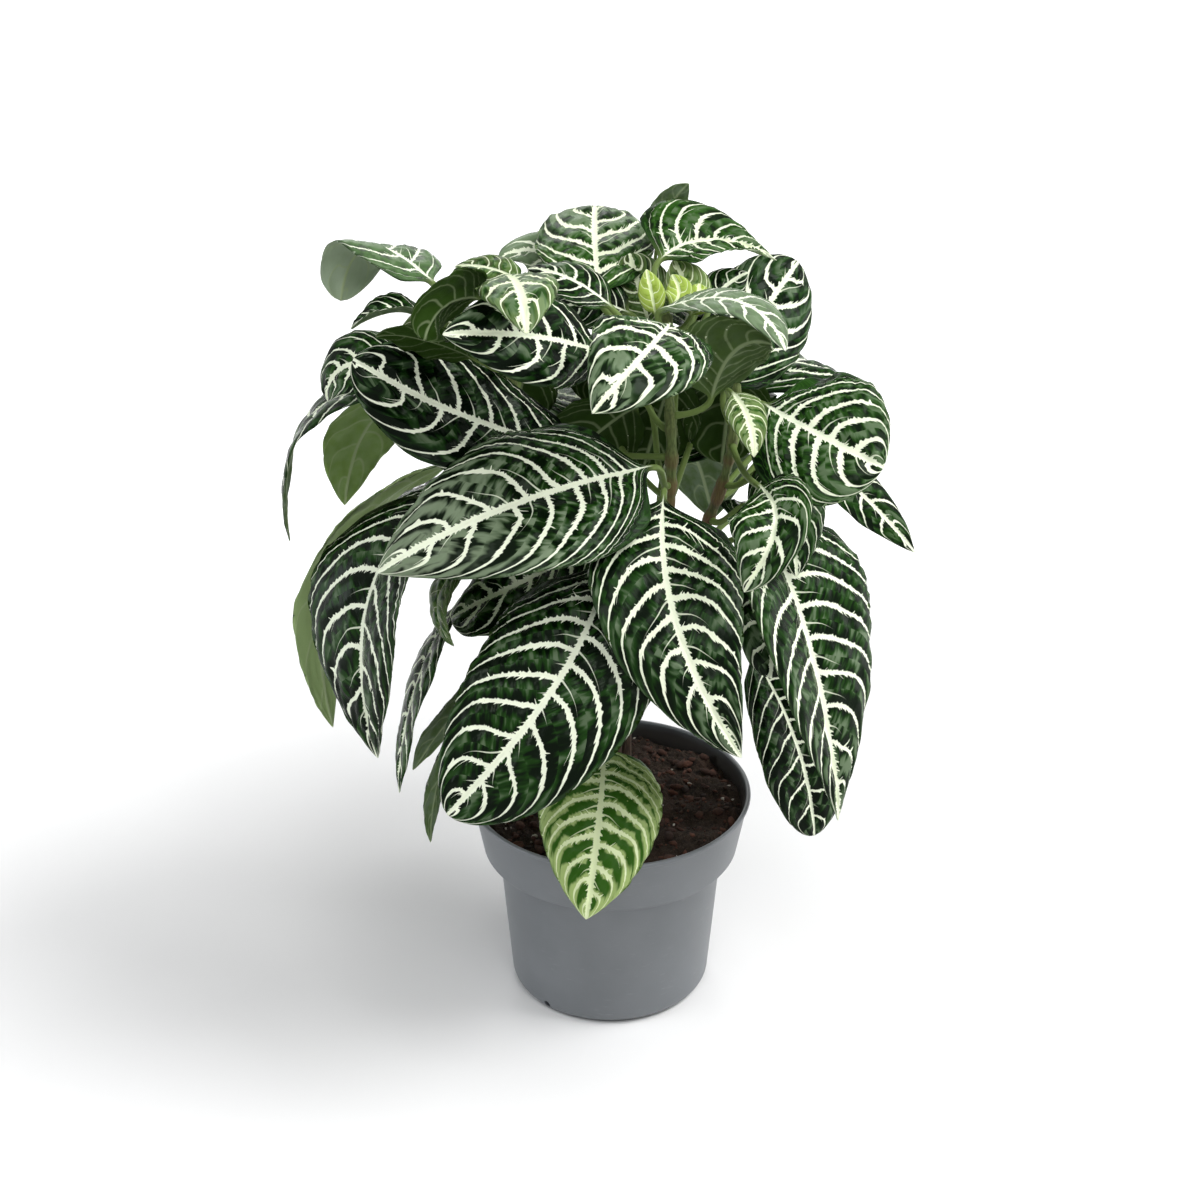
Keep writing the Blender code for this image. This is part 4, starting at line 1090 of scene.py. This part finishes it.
def leaf_underside():
    """The lower skin: paler, greyer and duller than the upper one, with faint veins. Where its depth is
    high it is painted dark, a painted shade; where its depth is below 0 it is painted pale, a painted
    light; and it is light green on a young one."""
    made = Finish("leaf_underside", Specular_IOR_Level=0.06, Specular_Tint=LEAF_SHEEN)
    blade = blade_values(made)
    off = (blade.phase - blade.phase.rounded()) * blade.pitch
    line = (blade.side_vein * 0.75 - abs(off)).step(-0.5, 0.4, 0, 0.55)
    rib = (blade.midrib * 0.6 - abs(blade.across)).step(-0.4, 0.4, 0, 0.9)
    veins = line.at_least(rib) * blade.depth.at_least(0).scaled(-0.5, 1.0)
    mottle = made.noise((blade.along * 0.15, blade.across * 0.15, blade.seed), detail=3)
    green = made.mix(mottle.step(0.3, 0.7), UNDER_GREEN, UNDER_GREY)
    # painted light: where the depth is below 0 the underside is painted pale
    green = made.mix(blade.depth.step(0.0, -0.6), green, UNDER_PAINTED_LIGHT)
    # painted shade: where the depth is high the underside is painted dark
    green = made.mix(blade.depth.step(0.6, 0.9), made.mix(blade.youth, green, UNDER_YOUNG), UNDER_PAINTED_SHADE)
    green = made.mix(veins, green, UNDER_VEIN)
    made.set("Base Color", made.mix(blade.along.step(*STALK_FADE), STALK_GREEN, green))
    grain = made.noise((blade.along, blade.across, blade.seed), scale=1.8)
    made.set("Roughness", grain.scaled(0.2, 0.42))
    made.bump(veins.scaled(0.8, grain), 0.15, 0.8)
    return made.material


def woody_bark():
    """Stem skin: brown and cracked lengthwise at the foot, turning green to the top, reddish at nodes."""
    made = Finish("woody_bark", Specular_IOR_Level=0.3)
    node, _, _ = made.stored("node")
    place = made.place()
    x, y, z = made.parts(place)
    fibre = made.noise((x, y, z * 0.12), scale=1.3, detail=4)
    crack = fibre.step(0.35, 0.65)
    wood = made.mix(crack, BARK_DARK, BARK_BROWN)
    fresh = made.mix(crack, BARK_GREEN, BARK_OLIVE)
    height = made.noise(place, scale=0.12).scaled(GREEN_OVER, z)
    colour = made.mix(height.step(GREEN_FROM, GREEN_FROM + GREEN_OVER), wood, fresh)
    red = node * z.step(GREEN_FROM + 20, GREEN_FROM + 40, 0.5, 0.06)
    made.set("Base Color", made.mix(red, colour, NODE_RED))
    made.set("Roughness", fibre.step(0.2, 0.8, 0.5, 0.75))
    made.bump(fibre, 0.5)
    return made.material


def pot_plastic():
    """Satin grey plastic: a fine moulded grain, faint scuffs, and its inner wall under the rim painted dark,
    a painted shade.
    """
    made = Finish("pot_plastic", Specular_IOR_Level=0.5)
    place = made.place()
    x, y, z = made.parts(place)
    cloud = made.noise(place, scale=0.03, detail=3)
    scuff = made.noise((x * 0.4, y * 0.4, z * 2.0), scale=0.35, detail=4)
    grey = made.mix(cloud.step(0.3, 0.7), POT_GREY, POT_PALE)
    grey = made.mix(scuff.step(0.62, 0.8, 0, 0.25), grey, POT_SCUFF)
    # painted shade: the inner wall, from the band's foot up to just under the rim, is painted dark
    slant = (RIM_RADIUS - BAND_FOOT_RADIUS) / BAND_HEIGHT
    outside = z.scaled(slant, RIM_RADIUS - POT_HEIGHT * slant)
    inside = (outside - (x * x + y * y).root()).step(0.9, 1.5)
    low = cloud.scaled(6.0, z).step(POT_HEIGHT - 2.5, POT_HEIGHT + 3, 0.85, 0.0)
    high = z.step(POT_HEIGHT - BAND_HEIGHT, POT_HEIGHT - BAND_HEIGHT + 2)
    made.set("Base Color", made.mix(inside * (low * high), grey, POT_PAINTED_SHADE))
    made.set("Roughness", cloud.scaled(0.16, 0.34))
    made.bump(made.noise(place, scale=2.2), 0.04)
    return made.material


def soil_crumbs():
    """Dark peat with reddish fibres and a grain of crumbs."""
    made = Finish("soil_crumbs", Specular_IOR_Level=0.25, Roughness=0.95)
    place = made.place()
    coarse = made.noise(place, scale=0.35, detail=4, roughness=0.65)
    fine = made.noise(place, scale=1.6, detail=4, roughness=0.7)
    warm = made.noise(place, scale=0.06)
    brown = made.mix(warm.step(0.4, 0.65), SOIL_DARK, SOIL_WARM)
    lit = made.mix(fine.step(0.45, 0.75), brown, SOIL_LIGHT)
    made.set("Base Color", made.mix(coarse.step(0.3, 0.5), SOIL_BLACK, lit))
    made.bump(coarse + fine * 0.5, 1.6)
    return made.material


def lump_finish(name, dark, light, roughness):
    """One colour for each lump, between two, broken up by a fine grain."""
    made = Finish(name, Specular_IOR_Level=0.25, Roughness=roughness)
    tint, _, _ = made.stored("tint")
    grain = made.noise(made.place(), scale=1.2, detail=3)
    made.set("Base Color", made.mix(tint + grain.scaled(0.8, -0.4), dark, light))
    made.bump(grain, 0.4)
    return made.material


# ---------------------------------------------------------------- studio


def pale_floor():
    """A matt floor that keeps the shadow. Away from the pot it glows, in two rings that rise with the
    distance, but only for the rays that show the background, so that they find it white."""
    mesh = bpy.data.meshes.new("floor")
    corners = [(x * FLOOR_REACH, y * FLOOR_REACH, 0) for x, y in ((-1, -1), (1, -1), (1, 1), (-1, 1))]
    mesh.from_pydata(corners, [], [(0, 1, 2, 3)])
    floor = bpy.data.objects.new("floor", mesh)
    bpy.context.scene.collection.objects.link(floor)
    made = Finish("pale_floor", Base_Color=(FLOOR_SHADE,) * 3, Roughness=1, Specular_IOR_Level=0,
                  Emission_Color=WHITE)
    length = made.new("VectorMath")
    length.operation = "LENGTH"
    away = made.fed(length, [made.point()], "Value")
    inner, outer = (away.step(near, far, 0, rise) for near, far, rise in FLOOR_GLOWS)
    made.set("Emission Strength", made.background_rays() * (inner + outer))
    mesh.materials.append(made.material)


def white_sky():
    """A sky that is white in the background and lights the plant evenly and faintly."""
    world = bpy.data.worlds.new("studio")
    world.use_nodes = True
    world.node_tree.nodes.clear()
    bpy.context.scene.world = world
    made = Tree(world.node_tree)
    sky = made.add("Background", 0, Color=WHITE, Strength=made.background_rays().step(0, 1, SKY_STRENGTH, 1))
    made.put(made.new("OutputWorld").inputs["Surface"], sky)


def studio():
    """The floor and the sky, six soft lamps, of which the largest stand high on the right and in front,
    and the camera."""
    scene = bpy.context.scene
    scene.view_settings.view_transform = "Standard"
    pale_floor()
    white_sky()
    for name, place, size, power, colour in LAMPS:
        light = bpy.data.lights.new(name, "AREA")
        light.shape = "DISK"
        light.size = size
        light.energy = power
        light.color = colour
        lamp = bpy.data.objects.new(name, light)
        lamp.location = place
        lamp.rotation_euler = (Vector(LAMP_TARGET) - Vector(place)).to_track_quat("-Z", "Y").to_euler()
        scene.collection.objects.link(lamp)

    lens = bpy.data.cameras.new("camera")
    lens.lens = LENS
    lens.sensor_width = SENSOR_WIDTH
    camera = bpy.data.objects.new("camera", lens)
    camera.location = CAMERA_PLACE
    camera.rotation_euler = (math.radians(90 - CAMERA_PITCH), 0, 0)
    scene.collection.objects.link(camera)
    scene.camera = camera


def main():
    studio()
    plastic, crumbs, bark = pot_plastic(), soil_crumbs(), woody_bark()
    moulded_pot(plastic)
    soil_surface(crumbs)
    for row in STREWN:
        strewn(*row)
    for name in STEMS:
        grown_stem(name, bark)
    top, underside = leaf_top(), leaf_underside()
    for leaf in LEAVES:
        grown_leaf(leaf, top, underside)


main()
